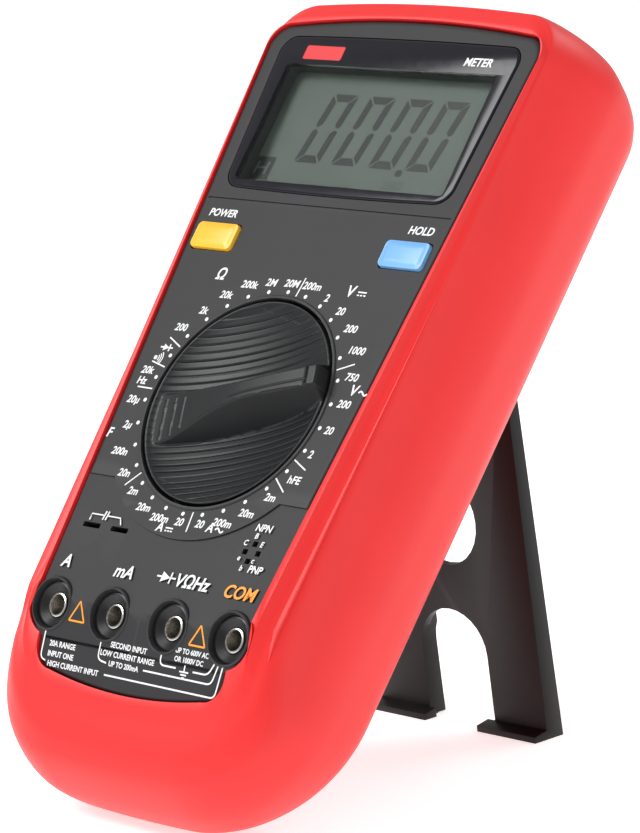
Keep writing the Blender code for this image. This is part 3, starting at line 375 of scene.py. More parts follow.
def even_normals(piece):
    """Lets a piece's large faces set its shading."""
    modifier = piece.modifiers.new("even", "WEIGHTED_NORMAL")
    modifier.keep_sharp = True
    settle(piece)


# ---------------------------------------------------------------- materials

def node(tree, kind, **inputs):
    """A new shader node with the named inputs set."""
    made = tree.nodes.new(kind)
    for key, value in inputs.items():
        made.inputs[key.replace("_", " ")].default_value = value
    return made


def moulded(name, colour, roughness, grain, grain_size, bump, mottle,
            metallic=0.0, wear=0.0, gleam=0.5, glow=0.0):
    """A moulded surface: fine grain, slow colour drift, uneven gloss and, if asked, paler worn edges."""
    material = bpy.data.materials.new(name)
    material.use_nodes = True
    tree = material.node_tree
    shader = tree.nodes["Principled BSDF"]
    shader.inputs["Metallic"].default_value = metallic
    shader.inputs["Specular IOR Level"].default_value = gleam
    shader.inputs["Emission Color"].default_value = (1.0, 1.0, 1.0, 1.0)
    shader.inputs["Emission Strength"].default_value = glow
    place = tree.nodes.new("ShaderNodeTexCoord")
    drift = node(tree, "ShaderNodeTexNoise", Scale=45.0, Detail=4.0, Roughness=0.55)
    fine = node(tree, "ShaderNodeTexNoise", Scale=1000.0 / grain_size, Detail=3.0, Roughness=0.6)
    tree.links.new(place.outputs["Object"], drift.inputs["Vector"])
    tree.links.new(place.outputs["Object"], fine.inputs["Vector"])
    tint = tree.nodes.new("ShaderNodeValToRGB")
    tint.color_ramp.elements[0].position = 0.3
    tint.color_ramp.elements[1].position = 0.7
    for element, share in zip(tint.color_ramp.elements, (1.0 - mottle, 1.0 + mottle)):
        element.color = (*(min(1.0, c * share) for c in colour), 1.0)
    tree.links.new(drift.outputs["Fac"], tint.inputs["Fac"])
    shown = tint.outputs["Color"]
    if wear:
        edge = tree.nodes.new("ShaderNodeNewGeometry")
        band = tree.nodes.new("ShaderNodeMapRange")
        band.inputs["From Min"].default_value = 0.53
        band.inputs["From Max"].default_value = 0.62
        band.inputs["To Max"].default_value = wear
        tree.links.new(edge.outputs["Pointiness"], band.inputs["Value"])
        mix = tree.nodes.new("ShaderNodeMix")
        mix.data_type = "RGBA"
        mix.inputs["B"].default_value = (*(min(1.0, c * 1.3 + 0.05) for c in colour), 1.0)
        tree.links.new(band.outputs["Result"], mix.inputs["Factor"])
        tree.links.new(shown, mix.inputs["A"])
        shown = mix.outputs["Result"]
    tree.links.new(shown, shader.inputs["Base Color"])
    gloss = tree.nodes.new("ShaderNodeMapRange")
    gloss.inputs["To Min"].default_value = max(0.02, roughness - 0.07)
    gloss.inputs["To Max"].default_value = min(1.0, roughness + 0.07)
    tree.links.new(fine.outputs["Fac"], gloss.inputs["Value"])
    tree.links.new(gloss.outputs["Result"], shader.inputs["Roughness"])
    relief = node(tree, "ShaderNodeBump", Strength=grain, Distance=bump * MM)
    tree.links.new(fine.outputs["Fac"], relief.inputs["Height"])
    tree.links.new(relief.outputs["Normal"], shader.inputs["Normal"])
    return material


def clear_plastic(name):
    """The window's clear middle: thin, polished and slightly grey."""
    material = moulded(name, (0.9, 0.92, 0.92), 0.06, 0.02, 3.0, 0.004, 0.01)
    shader = material.node_tree.nodes["Principled BSDF"]
    shader.inputs["Transmission Weight"].default_value = 1.0
    shader.inputs["IOR"].default_value = 1.15
    return material


def make_materials():
    """Each look: its colour, roughness, grain strength, grain size, depth of the grain and mottle."""
    return {
        "rubber": moulded("holster_rubber_look", (0.8, 0.022, 0.022), 0.42, 0.25, 0.5, 0.03, 0.025,
                          gleam=0.4),
        "panel": moulded("panel_plastic_look", (0.02, 0.02, 0.022), 0.52, 0.5, 0.3, 0.035, 0.06,
                         wear=0.25, gleam=0.3),
        "black_print": moulded("window_print_look", (0.009, 0.009, 0.013), 0.14, 0.05, 2.0, 0.01, 0.04,
                               gleam=0.25),
        "clear": clear_plastic("window_clear_look"),
        "lcd": moulded("lcd_cell_look", (0.08, 0.106, 0.083), 0.4, 0.1, 0.25, 0.01, 0.05),
        "lcd_segment": moulded("lcd_segment_look", (0.006, 0.009, 0.007), 0.3, 0.1, 0.25, 0.01, 0.05),
        "lcd_ghost": moulded("lcd_ghost_look", (0.05, 0.062, 0.05), 0.3, 0.1, 0.25, 0.01, 0.05),
        "white_ink": moulded("white_ink_look", (0.82, 0.83, 0.84), 0.5, 0.3, 0.2, 0.01, 0.04),
        "orange_ink": moulded("orange_ink_look", (0.95, 0.33, 0.01), 0.5, 0.3, 0.2, 0.01, 0.06),
        "red_badge": moulded("red_badge_look", (0.7, 0.005, 0.01), 0.4, 0.1, 0.4, 0.01, 0.05),
        "knob": moulded("knob_plastic_look", (0.006, 0.007, 0.008), 0.38, 0.35, 0.35, 0.025, 0.1,
                        wear=0.4, gleam=0.3),
        "black": moulded("jack_plastic_look", (0.005, 0.005, 0.006), 0.34, 0.2, 0.4, 0.02, 0.1,
                         wear=0.3, gleam=0.4),
        "yellow": moulded("yellow_button_look", (0.98, 0.5, 0.02), 0.34, 0.15, 0.4, 0.02, 0.03),
        "blue": moulded("blue_button_look", (0.17, 0.42, 0.8), 0.34, 0.15, 0.4, 0.02, 0.03),
        "stand": moulded("stand_plastic_look", (0.005, 0.0045, 0.004), 0.42, 0.5, 0.35, 0.04, 0.1,
                         wear=0.3, gleam=0.25),
        "nickel": moulded("nickel_look", (0.55, 0.53, 0.5), 0.22, 0.1, 0.5, 0.01, 0.08, metallic=1.0),
        "floor": moulded("floor_look", (0.9, 0.9, 0.9), 0.6, 0.05, 8.0, 0.05, 0.01, glow=0.6),
    }


# The looks of the CAD nodes that stay: colour, roughness and how metallic
CAD_LOOKS = {
    "white_plastic": ((0.68, 0.68, 0.66), 0.45, 0.0),
    "conductive_rubber": ((0.5, 0.4, 0.45), 0.7, 0.0),
    "circuit_board": ((0.02, 0.13, 0.05), 0.35, 0.0),
    "case_plastic": ((0.075, 0.075, 0.08), 0.5, 0.0),
    "black_plastic": ((0.02, 0.02, 0.022), 0.4, 0.0),
    "lcd_glass": ((0.16, 0.19, 0.155), 0.25, 0.0),
    "nickel": ((0.6, 0.58, 0.54), 0.25, 1.0),
    "steel": ((0.55, 0.55, 0.56), 0.3, 1.0),
    "manganin": ((0.6, 0.42, 0.3), 0.35, 1.0),
    "fuse_coating": ((0.75, 0.45, 0.05), 0.5, 0.0),
    "battery_wrap": ((0.22, 0.24, 0.27), 0.3, 0.6),
    "red_wire": ((0.6, 0.02, 0.02), 0.5, 0.0),
    "black_wire": ((0.02, 0.02, 0.02), 0.5, 0.0),
    "blue_resin": ((0.05, 0.15, 0.5), 0.4, 0.0),
}


def dress_inner_nodes(replaced):
    """Every CAD node that stays gets a finished version of its own material."""
    looks = {slot: moulded(slot + "_inner_look", colour, roughness, 0.3, 0.4, 0.02, 0.1, metallic, wear=0.2)
             for slot, (colour, roughness, metallic) in CAD_LOOKS.items()}
    for entry in frame["record"]["subparts"]:
        if entry["node"] not in replaced:
            piece = frame["nodes"][entry["node"]]
            for slot in piece.material_slots:
                slot.material = looks[entry["material_slot"]]
            shade(piece, 35.0)


# ---------------------------------------------------------------- holster

def holster_ring(section):
    """One ring of the holster's outside."""
    z, slope, *shape, follow = section
    return [(x, y, z + slope * y - follow * bend(y)) for x, y in outline(plate_half(shape))]


def add_holster(materials):
    """One skin: up the outside from the back, over the lip, and down the inside to the cavity's floor."""
    between = 5
    levels = between * (len(HOLSTER_SECTIONS) - 1)
    rings = [holster_ring(eased(HOLSTER_SECTIONS, i / between)) for i in range(levels, -1, -1)]
    for inset, z in ((-0.15, 0.3), (-0.04, 0.24), (0.0, 0.1), (0.0, -LIP_THICKNESS)):
        rings.append([(x, y, z - bend(y)) for x, y in outline(opening_half(inset))])
    case = outline(plate_half(CASE_SHAPE, -FIT_GAP))
    rings.append([(x, y, -LIP_THICKNESS - bend(y)) for x, y in case])
    rings.append([(x, y, CASE_BACK - FIT_GAP) for x, y in case])
    holster = add_piece("holster_skin", loft(rings), materials["rubber"], stands_for=["holster"], smooth=50.0)
    groove, *others = stand_room()
    combine(holster, [groove], "DIFFERENCE", smooth=40.0)
    combine(holster, others, "DIFFERENCE", smooth=40.0)


def stand_room():
    """The hinge groove, the two slots for the stand's feet and the holes for the hinge's ends."""
    groove = flared_pocket(55.2, 10.5, 0.4, (0.0, HINGE.y - 0.75), HINGE.z + 2.8)
    foot_y = HINGE.y - STAND_LENGTH + 1.3
    slots = [flared_pocket(19.9, 5.8, 0.6, (x, foot_y), HOLSTER_BACK + 5.0) for x in (-17.85, 17.85)]
    stubs = [hinge_bar(1.6, *ends) for ends in ((-30.0, -27.1), (27.1, 30.0))]
    return [groove, *slots, *stubs]


def flared_pocket(width, height, radius, centre, floor):
    """A cutter from the holster's back up to the pocket's floor, with a flared mouth."""
    flare = 0.8
    return stepped(lambda inset: rounded(width - 2 * inset, height - 2 * inset, radius, centre, 4),
                   ((-flare, HOLSTER_BACK - 1.0), (0.0, HOLSTER_BACK + 0.5), (0.0, floor)))


def hinge_bar(radius, low, high, steps=24):
    """A round bar along x through the stand's hinge."""
    angles = [math.tau * i / steps for i in range(steps)]
    return loft([[(x, HINGE.y + radius * math.cos(a), HINGE.z + radius * math.sin(a)) for a in angles]
                 for x in (low, high)])


# ---------------------------------------------------------------- front case and display

def lower_zone():
    """The recessed zone below the dial's raised round field, as a solid to cut away."""
    radius, edge, floor = LOWER_ZONE
    reach = 60.0
    low = -90.0
    start = math.asin(edge / radius)
    sweep = arc((0.0, 0.0), radius, math.pi - start, math.tau + start, 72)
    shape = [(-reach, edge), *sweep, (reach, edge), (reach, low), (-reach, low)]
    return prism(list(reversed(shape)), floor, CUT_TOP)


def case_rings():
    """The front case: up its sides, in under the holster's lip, and over the panel to its middle line."""
    side = outline(plate_half(CASE_SHAPE))
    rings = [[(x, y, -17.0) for x, y in side],
             [(x, y, -3.2 - bend(y)) for x, y in side],
             [(x, y, -2.6 - bend(y)) for x, y in outline(plate_half(CASE_SHAPE, 0.5))]]
    gap = 0.35
    for inset, z in ((0.0, -2.6), (0.0, -0.9), (0.12, -0.5), (0.4, -0.2), (0.8, -0.05), (1.3, 0.0)):
        rings.append([(x, y, z - bend(y)) for x, y in outline(opening_half(gap + inset, notched=False))])
    field = rings[-1]
    for share in (0.8, 0.6, 0.4, 0.2, 0.02):
        rings.append([(x * share, y, z) for x, y, z in field])
    return rings


def add_front_case(materials):
    """The panel with its lower zone, dial well and bead, jack collars, window recess and openings."""
    case = add_piece("front_panel", loft(case_rings()), materials["panel"], stands_for=["front_case"],
                     smooth=30.0)
    inside = outline(plate_half(CASE_SHAPE, CASE_WALL))
    hollow = loft([[(x, y, -20.0) for x, y in inside], [(x, y, -4.6 - bend(y)) for x, y in inside]])
    combine(case, [hollow], "DIFFERENCE")
    combine(case, [lower_zone()], "DIFFERENCE")
    radius = DIAL_WELL_RADIUS
    well_wall = turned(((radius + 1.6, -10.4), (radius + 1.6, -3.6)))
    bead = turned(((radius + 0.9, -1.0), (radius + 0.9, 0.1), (radius + 0.65, 0.33), (radius + 0.3, 0.36),
                   (radius - 0.5, 0.3)), DIAL_BEAD_STEPS)
    combine(case, [well_wall], "UNION")
    combine(case, [bead], "UNION")
    combine(case, [moved_jack(x, JACK_COLLAR) for x in JACK_X], "UNION")
    lens = stepped(lambda inset: outline(plate_half(LENS_SHAPE, inset, LENS_SAG)),
                   ((-0.25, -1.6), (-0.25, CUT_TOP)))
    combine(case, [lens], "DIFFERENCE")
    step = [(-38.6, 50.3), (38.6, 50.3), (38.6, 50.7), (-38.6, 50.7)]
    combine(case, [prism(step, -0.3, 1.0)], "DIFFERENCE")
    room = 0.6
    view = prism(rounded(VIEW_SIZE[0] + room, VIEW_SIZE[1] + room, 2.0, VIEW_CENTRE), CUT_LOW, 0.5)
    well = turned(((radius - 0.1, -7.5), (radius - 0.1, -0.2), (radius + 0.3, 0.9)), DIAL_BEAD_STEPS)
    bores = [moved_jack(x, JACK_BORE) for x in JACK_X]
    buttons = [prism(rounded(BUTTON_SIZE[0] + room, BUTTON_SIZE[1] + room, 1.3, place), CUT_LOW, CUT_TOP)
               for place in BUTTON_PLACES.values()]
    combine(case, [view, well, *bores, *buttons, *socket_holes()], "DIFFERENCE")
    hub_hole = turned(((8.9, -14.0), (8.9, -5.0)))
    combine(case, [hub_hole], "DIFFERENCE", smooth=30.0)
    even_normals(case)


def jack_place(x):
    """A jack's own frame: z out along its tilted axis, from the panel's surface."""
    return (PANEL @ Matrix.Translation((x, JACK_Y, -bend(JACK_Y) - JACK_SINK))
            @ Matrix.Rotation(JACK_TILT, 4, "X"))


def moved_jack(x, profile):
    """A turned shape about a jack's tilted axis, in the panel's frame."""
    turn = PANEL.inverted() @ jack_place(x)
    points, faces = turned(profile, 72)
    return [turn @ Vector(p) for p in points], faces


def socket_holes():
    """Two capacitor slots and the four transistor holes."""
    holes = [prism(rounded(5.6, 1.3, 0.4, (x, -34.6)), CUT_LOW, CUT_TOP) for x in (-27.0, -17.8)]
    for dx, dy in ((0, 2.1), (2.0, 0), (0, -2.1), (-2.0, 0)):
        holes.append(prism(rounded(1.5, 1.3, 0.15, (24.5 + dx, -34.4 + dy), 3), CUT_LOW, CUT_TOP))
    return holes


def add_display(materials):
    """A glossy window with a black printed border, over the liquid crystal cell and its figures."""
    width, height = VIEW_SIZE
    rim = stepped(lambda inset: outline(plate_half(LENS_SHAPE, inset, LENS_SAG)),
                  ((0.0, -1.5), (0.0, 0.0), (0.25, 0.22), (0.6, 0.3)))
    border = add_piece("window_border", rim, materials["black_print"], stands_for=["display_window"],
                       smooth=30.0)
    combine(border, [prism(rounded(width, height, 1.2, VIEW_CENTRE), -3.0, 2.0)], "DIFFERENCE", smooth=30.0)
    clear = prism(rounded(width - 0.1, height - 0.1, 1.2, VIEW_CENTRE), -0.5, 0.26)
    pane = add_piece("window_pane", clear, materials["clear"])
    glass = stepped(lambda inset: rounded(LCD_SIZE[0] - 2 * inset, LCD_SIZE[1] - 2 * inset, 0.6, LCD_CENTRE),
                    ((0.0, -7.1), (0.0, LCD_TOP - 0.1), (0.1, LCD_TOP)))
    cell = add_piece("lcd_cell", glass, materials["lcd"], stands_for=["lcd_glass"])
    strokes = [part for x in (-15.9, -4.0, 7.9, 19.4) for part in digit(x)]
    point = rounded(2.0, 1.7, 0.6, (12.6, 62.9))
    figures = together([prism(part, LCD_TOP - 0.02, LCD_TOP + 0.05) for part in (*strokes, point)])
    segments = add_piece("lcd_segments", figures, materials["lcd_segment"])
    box = prism(rounded(6.4, 6.2, 0.3, (-30.6, 61.4)), LCD_TOP - 0.02, LCD_TOP + 0.04)
    icon = add_piece("lcd_hold_mark", box, materials["lcd_segment"])
    inner = [stroke([(-32.2, 63.2), (-32.6, 59.8)], 0.7),
             stroke([(-28.9, 63.2), (-29.3, 59.8)], 0.7),
             stroke([(-32.3, 61.6), (-29.2, 61.6)], 0.6)]
    letter = together([prism(part, LCD_TOP, LCD_TOP + 0.06) for part in inner])
    hold = add_piece("lcd_hold_letter", letter, materials["lcd"])
    add_text("lcd_ghost_figures", [("2000", (12.2, 59.6), 2.4, 0.0)], LCD_TOP + 0.01,
             materials["lcd_ghost"], weight=0.0)


def digit(x):
    """The six lit strokes of a slanted seven-segment nought, with its foot at x."""
    height = 18.6
    width = 8.0
    stroke_width = 2.0
    slant = 0.17
    low = 63.7
    gap = 0.22

    def lean(points):
        return [(x + px + slant * (py - height / 2), low + py) for px, py in points]

    half = width / 2
    mid = height / 2
    inner = half - stroke_width
    parts = []
    for sign in (-1, 1):
        base = 0.0 if sign < 0 else height
        inward = 1 if sign < 0 else -1
        bar = [(-half + gap + 0.2, base), (half - gap - 0.2, base),
               (inner - gap, base + inward * stroke_width), (-inner + gap, base + inward * stroke_width)]
        parts.append(lean(bar if sign < 0 else list(reversed(bar))))
        for side in (-1, 1):
            end = base + inward * (gap + 0.2)
            leg = [(side * half, end), (side * half, mid - inward * (gap + 0.5)),
                   (side * (half - stroke_width / 2), mid - inward * gap),
                   (side * inner, mid - inward * (gap + 0.9)),
                   (side * inner, base + inward * (stroke_width + gap))]
            order = leg if side * inward > 0 else list(reversed(leg))
            parts.append(lean(order))
    return parts


# ---------------------------------------------------------------- printing

def stroke(points, width):
    """A ribbon outline along a line of points."""
    left = []
    right = []
    for i, p in enumerate(points):
        a = points[max(0, i - 1)]
        b = points[min(len(points) - 1, i + 1)]
        dx = b[0] - a[0]
        dy = b[1] - a[1]
        length = math.hypot(dx, dy)
        nx = -dy / length * width / 2
        ny = dx / length * width / 2
        left.append((p[0] + nx, p[1] + ny))
        right.append((p[0] - nx, p[1] - ny))
    return right + list(reversed(left))


def bent_line(points, radius):
    """A line with its inner corners rounded."""
    route = [points[0]]
    for a, b, c in zip(points, points[1:], points[2:]):
        before = Vector(a) - Vector(b)
        after = Vector(c) - Vector(b)
        start = Vector(b) + before.normalized() * radius
        end = Vector(b) + after.normalized() * radius
        for i in range(7):
            t = i / 6
            route.append(tuple(start * (1 - t) ** 2 + Vector(b) * 2 * t * (1 - t) + end * t ** 2))
    return route + [points[-1]]


def text_shape(body, place, size, slant, weight):
    """The letters of a word, centred at place, as thin raised shapes about z = 0."""
    curve = bpy.data.curves.new("word", "FONT")
    curve.body = body
    curve.size = size * 1.36
    curve.align_x = "CENTER"
    curve.align_y = "CENTER"
    curve.shear = slant
    curve.offset = weight
    curve.resolution_u = 3
    curve.extrude = 0.02
    holder = bpy.data.objects.new("word", curve)
    bpy.context.scene.collection.objects.link(holder)
    depsgraph = bpy.context.evaluated_depsgraph_get()
    mesh = bpy.data.meshes.new_from_object(holder.evaluated_get(depsgraph))
    points = [(place[0] + v.co.x * 0.96, place[1] + v.co.y, v.co.z) for v in mesh.vertices]
    faces = [tuple(p.vertices) for p in mesh.polygons]
    bpy.data.objects.remove(holder)
    bpy.data.meshes.remove(mesh)
    return points, faces


def add_text(name, words, z, material, weight=0.03):
    """One piece of print; each word is given with its middle, its size and its slant."""
    shapes = [text_shape(word, place, size, slant, weight * size) for word, place, size, slant in words]
    points, faces = together(shapes)
    piece = add_piece(name, ([(x, y, z + dz - bend(y)) for x, y, dz in points], faces), material)
    return piece


def printed(shapes, z):
    """Flat ink shapes on the panel's surface, which may slope."""
    points, faces = together([prism(shape, -0.03, 0.035) for shape in shapes])
    return [(x, y, z + dz - bend(y)) for x, y, dz in points], faces


SLANT = 0.14
DIAL_LABELS = ("200", "2k", "20k", "200k", "2M", "20M", "200m", "2", "20", "200", "1000", "750", "200",
               "20", "2", "hFE", "2m", "20m", "200m", "20", "20", "200m", "20m", "2m", "20n", "200n",
               "2μ", "20μ", "20k", "")
DIAL_LABEL_SIZE = 1.95
FREQUENCY_LABEL = 28                 # the label that has its unit below it
SEPARATORS = (5, 10, 14, 15, 19, 23, 27, 28, 29)      # marks that a line follows
JACK_WORD_SIZE = 3.2
HOLE_LETTER_SIZE = 1.35
CAPTION_SIZE = 1.25


def mark_angle(index):
    """Where a mark lies, anticlockwise from the right; the marks run clockwise."""
    return math.pi / 2 - FIRST_MARK - math.tau * index / MARK_COUNT


def polar(radius, angle):
    return radius * math.cos(angle), radius * math.sin(angle)


def add_badges(materials):
    """A plain red badge and a generic word on the window's border."""
    badge = printed([rounded(12.4, 3.7, 0.5, (-23.0, 90.6))], 0.3)
    piece = add_piece("plain_badge", badge, materials["red_badge"])
    add_text("window_word", [("METER", (26.0, 90.2), 2.2, SLANT)], 0.31, materials["white_ink"])


def add_dial_print(materials):
    """The marks, lines, figures and signs round the dial."""
    dots = [circle(0.5, polar(MARK_RADIUS, mark_angle(i)), 14) for i in range(MARK_COUNT)]
    lines = [stroke([polar(27.7, mark_angle(i + 0.5)), polar(32.6, mark_angle(i + 0.5))], 0.34)
             for i in SEPARATORS]
    piece = add_piece("dial_marks", printed(dots + lines, 0.0), materials["white_ink"])
    words = []
    for index, label in enumerate(DIAL_LABELS):
        if not label:
            continue
        angle = mark_angle(index)
        half = 0.78 * len(label)
        reach = MARK_RADIUS + 1.35 + half * abs(math.cos(angle)) + 0.75 * abs(math.sin(angle))
        x, y = polar(reach, angle)
        if index == FREQUENCY_LABEL:
            y += 1.0
        words.append((label, (x, y), DIAL_LABEL_SIZE, SLANT))
    words += [("Hz", (-32.2, 2.0), DIAL_LABEL_SIZE, SLANT),
              ("Ω", (-22.9, 30.9), 3.0, SLANT),
              ("V", (18.9, 30.2), 2.9, SLANT),
              ("V", (33.0, 6.5), 2.7, SLANT),
              ("A", (9.6, -30.6), 2.4, SLANT),
              ("A", (-5.4, -32.4), 2.4, SLANT),
              ("F", (-34.6, -11.9), 2.5, SLANT)]
    add_text("dial_figures", words, 0.02, materials["white_ink"], weight=0.028)
    symbols = [wave(36.0, 6.2), wave(12.6, -30.8), *direct(22.6, 30.0, 1.0), *direct(-2.4, -32.6, 0.9)]
    symbols += diode(-29.2, 11.0, 0.9) + buzzer_mark(-30.4, 8.2)
    piece = add_piece("dial_symbols", printed(symbols, 0.0), materials["white_ink"])


def wave(x, y):
    """The sign for alternating current."""
    return stroke([(x - 1.3 + 2.6 * i / 12, y + 0.45 * math.sin(math.tau * i / 12)) for i in range(13)], 0.42)


def direct(x, y, scale):
    """The sign for direct current: a line over three dashes."""
    high = y + 0.35 * scale
    low = y - 0.45 * scale
    dashes = [stroke([(x + scale * a, low), (x + scale * (a + 0.65), low)], 0.34)
              for a in (-1.3, -0.32, 0.66)]
    return [stroke([(x - 1.3 * scale, high), (x + 1.3 * scale, high)], 0.34), *dashes]


def diode(x, y, scale):
    """The sign for a diode: a triangle against a bar, with a lead at each side."""
    triangle = [(x - 1.1 * scale, y - 0.95 * scale), (x + 0.9 * scale, y),
                (x - 1.1 * scale, y + 0.95 * scale)]
    return [triangle,
            stroke([(x + 1.0 * scale, y - 1.0 * scale), (x + 1.0 * scale, y + 1.0 * scale)], 0.4),
            stroke([(x - 2.2 * scale, y), (x - 1.0 * scale, y)], 0.4),
            stroke([(x + 1.0 * scale, y), (x + 2.2 * scale, y)], 0.4)]


def buzzer_mark(x, y):
    """The sign for the sounder: a dot and three arcs."""
    shapes = [circle(0.55, (x - 0.9, y), 12)]
    for radius in (1.1, 1.7, 2.3):
        shapes.append(stroke(arc((x - 0.9, y), radius, -0.7, 0.7, 8), 0.28))
    return shapes


def add_panel_print(materials):
    """The words, lines and signs beside the buttons, sockets and jacks."""
    words = [("POWER", (-31.4, 46.6), 2.0, SLANT),
             ("HOLD", (31.6, 46.8), 2.1, SLANT),
             ("A", (-28.9, -44.3), JACK_WORD_SIZE, SLANT),
             ("mA", (-9.9, -44.4), JACK_WORD_SIZE, SLANT),
             ("VΩHz", (11.8, -44.0), JACK_WORD_SIZE, SLANT),
             ("NPN", (25.4, -28.6), 1.8, SLANT),
             ("B", (24.3, -30.6), HOLE_LETTER_SIZE, SLANT),
             ("C", (22.0, -32.5), HOLE_LETTER_SIZE, SLANT),
             ("E", (26.9, -32.4), HOLE_LETTER_SIZE, SLANT),
             ("c", (26.4, -36.4), HOLE_LETTER_SIZE, SLANT),
             ("e", (22.0, -36.2), HOLE_LETTER_SIZE, SLANT),
             ("b", (23.9, -38.5), HOLE_LETTER_SIZE, SLANT),
             ("PNP", (28.2, -38.4), 1.8, SLANT),
             ("20A RANGE", (-22.0, -62.9), CAPTION_SIZE, 0.0),
             ("INPUT ONE", (-22.0, -65.1), CAPTION_SIZE, 0.0),
             ("HIGH CURRENT INPUT", (-17.3, -67.2), CAPTION_SIZE, 0.0),
             ("SECOND INPUT", (-0.9, -60.6), CAPTION_SIZE, 0.0),
             ("LOW CURRENT RANGE", (-0.8, -62.6), CAPTION_SIZE, 0.0),
             ("UP TO 200mA", (-1.4, -64.6), 1.2, 0.0),
             ("UP TO 600V AC", (18.8, -58.9), 1.15, 0.0),
             ("OR 1000V DC", (18.3, -60.7), 1.15, 0.0)]
    add_text("panel_words", words, 0.02, materials["white_ink"])
    add_text("common_word", [("COM", (26.9, -44.3), JACK_WORD_SIZE, SLANT)], 0.02,
             materials["orange_ink"])
    shapes = diode(3.5, -43.7, 1.35)
    shapes += [stroke(bent_line(points, 1.4), 0.36) for points in (
        [(-28.4, -60.2), (-28.4, -66.4), (-26.6, -66.7)],
        [(-6.9, -67.1), (28.2, -67.1), (28.9, -60.2)],
        [(-10.0, -60.0), (-10.0, -64.2), (-7.0, -64.6)],
        [(5.0, -64.5), (26.4, -64.5), (27.5, -60.2)],
        [(9.6, -60.0), (9.6, -62.6), (14.8, -62.6)],
        [(20.2, -62.7), (24.9, -62.7), (26.2, -60.2)])]
    earth_x = 17.5
    shapes += [stroke([(earth_x, -61.7), (earth_x, -63.3)], 0.34)]
    shapes += [stroke([(earth_x - half, y), (earth_x + half, y)], 0.32)
               for half, y in ((1.4, -63.1), (0.9, -63.7), (0.4, -64.3))]
    shapes += [stroke([(-28.0, -33.6), (-28.0, -32.0), (-24.2, -32.0)], 0.32),
               stroke([(-22.6, -32.0), (-18.6, -32.0), (-17.6, -33.6)], 0.32),
               stroke([(-24.0, -33.1), (-23.7, -30.9)], 0.4),
               stroke([(-23.1, -33.1), (-22.8, -30.9)], 0.4)]
    piece = add_piece("panel_lines", printed(shapes, 0.0), materials["white_ink"])
    signs = []
    for x in (-19.3, 19.7):
        corners = [(x - 2.5, -57.3), (x + 2.5, -57.3), (x, -52.9), (x - 2.5, -57.3)]
        signs += [stroke([a, b], 0.4) for a, b in zip(corners, corners[1:])]
    piece = add_piece("caution_triangles", printed(signs, 0.0), materials["orange_ink"])


# ---------------------------------------------------------------- knob, buttons and jacks

def knob_height(u, v):
    """The knob's top: a ridged dish and a crowned bar with sloping sides; u runs to the pointer's tip."""
    radius = math.hypot(u, v)
    spread = min(1.0, radius / KNOB_RADIUS)
    dish = 0.6 - 4.8 * (1.0 - spread ** 2) ** 0.8
    groove = 1.0 - abs(math.sin(math.pi * v / RIDGE_PITCH))
    dish -= 0.3 * groove ** 5 * min(1.0, (1.0 - spread) * 14.0)
    half, crown = eased_bar(u)
    side = crown - max(0.0, abs(v) - half) * 2.1
    if abs(v) < half:
        edge = (half - abs(v)) / 0.4
        side -= 0.15 * max(0.0, 1.0 - edge) ** 2
        if 1.0 < u < 22.8 and abs(v + 0.9) < 0.22:
            side += 0.2
        for rib in (-21.3, -18.2, -15.0):
            if abs(u - rib) < 0.22 and abs(v + 0.4) < half - 1.0:
                side += 0.2
        if u > 22.8:
            side += 0.2 if u < 23.2 else -0.15
    top = max(dish, side)
    rim = max(0.0, radius - (KNOB_RADIUS - 0.6)) / 0.6
    return top - 0.5 * (1.0 - math.sqrt(max(0.0, 1.0 - rim * rim)))


BAR_STATIONS = (-26.0, -20.0, -15.0, -5.0, 4.0, 15.0, 26.0)
BAR_SIZES = ((6.5, -0.5), (6.2, -0.2), (5.2, 0.7), (3.3, 3.1), (2.2, 4.5), (2.3, 4.8), (2.4, 4.5))


def eased_bar(u):
    """Half the width of the bar's top and its height, at a place along it."""
    k = 0
    while k < len(BAR_STATIONS) - 2 and u > BAR_STATIONS[k + 1]:
        k += 1
    t = (u - BAR_STATIONS[k]) / (BAR_STATIONS[k + 1] - BAR_STATIONS[k])
    return eased(BAR_SIZES, k + max(0.0, min(1.0, t)))


def add_knob(materials):
    """The knob's top as a fine grid that ends at its rim, with a wall and a flat back below, and its hub."""
    rows = 420
    columns = 150
    points = []
    for j in range(rows):
        phi = math.pi * ((j + 0.5) / rows - 0.5)
        v = KNOB_RADIUS * math.sin(phi)
        reach = KNOB_RADIUS * math.cos(phi)
        for i in range(columns):
            u = reach * (2.0 * i / (columns - 1) - 1.0)
            x = u * math.cos(POINTER_ANGLE) - v * math.sin(POINTER_ANGLE)
            y = u * math.sin(POINTER_ANGLE) + v * math.cos(POINTER_ANGLE)
            points.append((x, y, knob_height(u, v)))
    faces = []
    for j in range(rows - 1):
        for i in range(columns - 1):
            a = j * columns + i
            faces.append((a, a + 1, a + 1 + columns, a + columns))
    rim = list(range(columns))
    rim += [j * columns + columns - 1 for j in range(1, rows)]
    rim += [(rows - 1) * columns + i for i in range(columns - 2, -1, -1)]
    rim += [j * columns for j in range(rows - 2, 0, -1)]
    start = len(points)
    points += [(points[k][0], points[k][1], -7.2) for k in rim]
    count = len(rim)
    for i in range(count):
        j = (i + 1) % count
        faces.append((rim[i], start + i, start + j, rim[j]))
    faces.append(tuple(start + i for i in reversed(range(count))))
    add_piece("knob_top", (points, faces), materials["knob"], "knob", ["range_knob"], smooth=60.0)
    hub = add_piece("knob_hub", turned(((5.5, -12.2), (5.5, -9.4), (8.4, -9.3), (8.4, -7.1))),
                    materials["knob"], "knob")


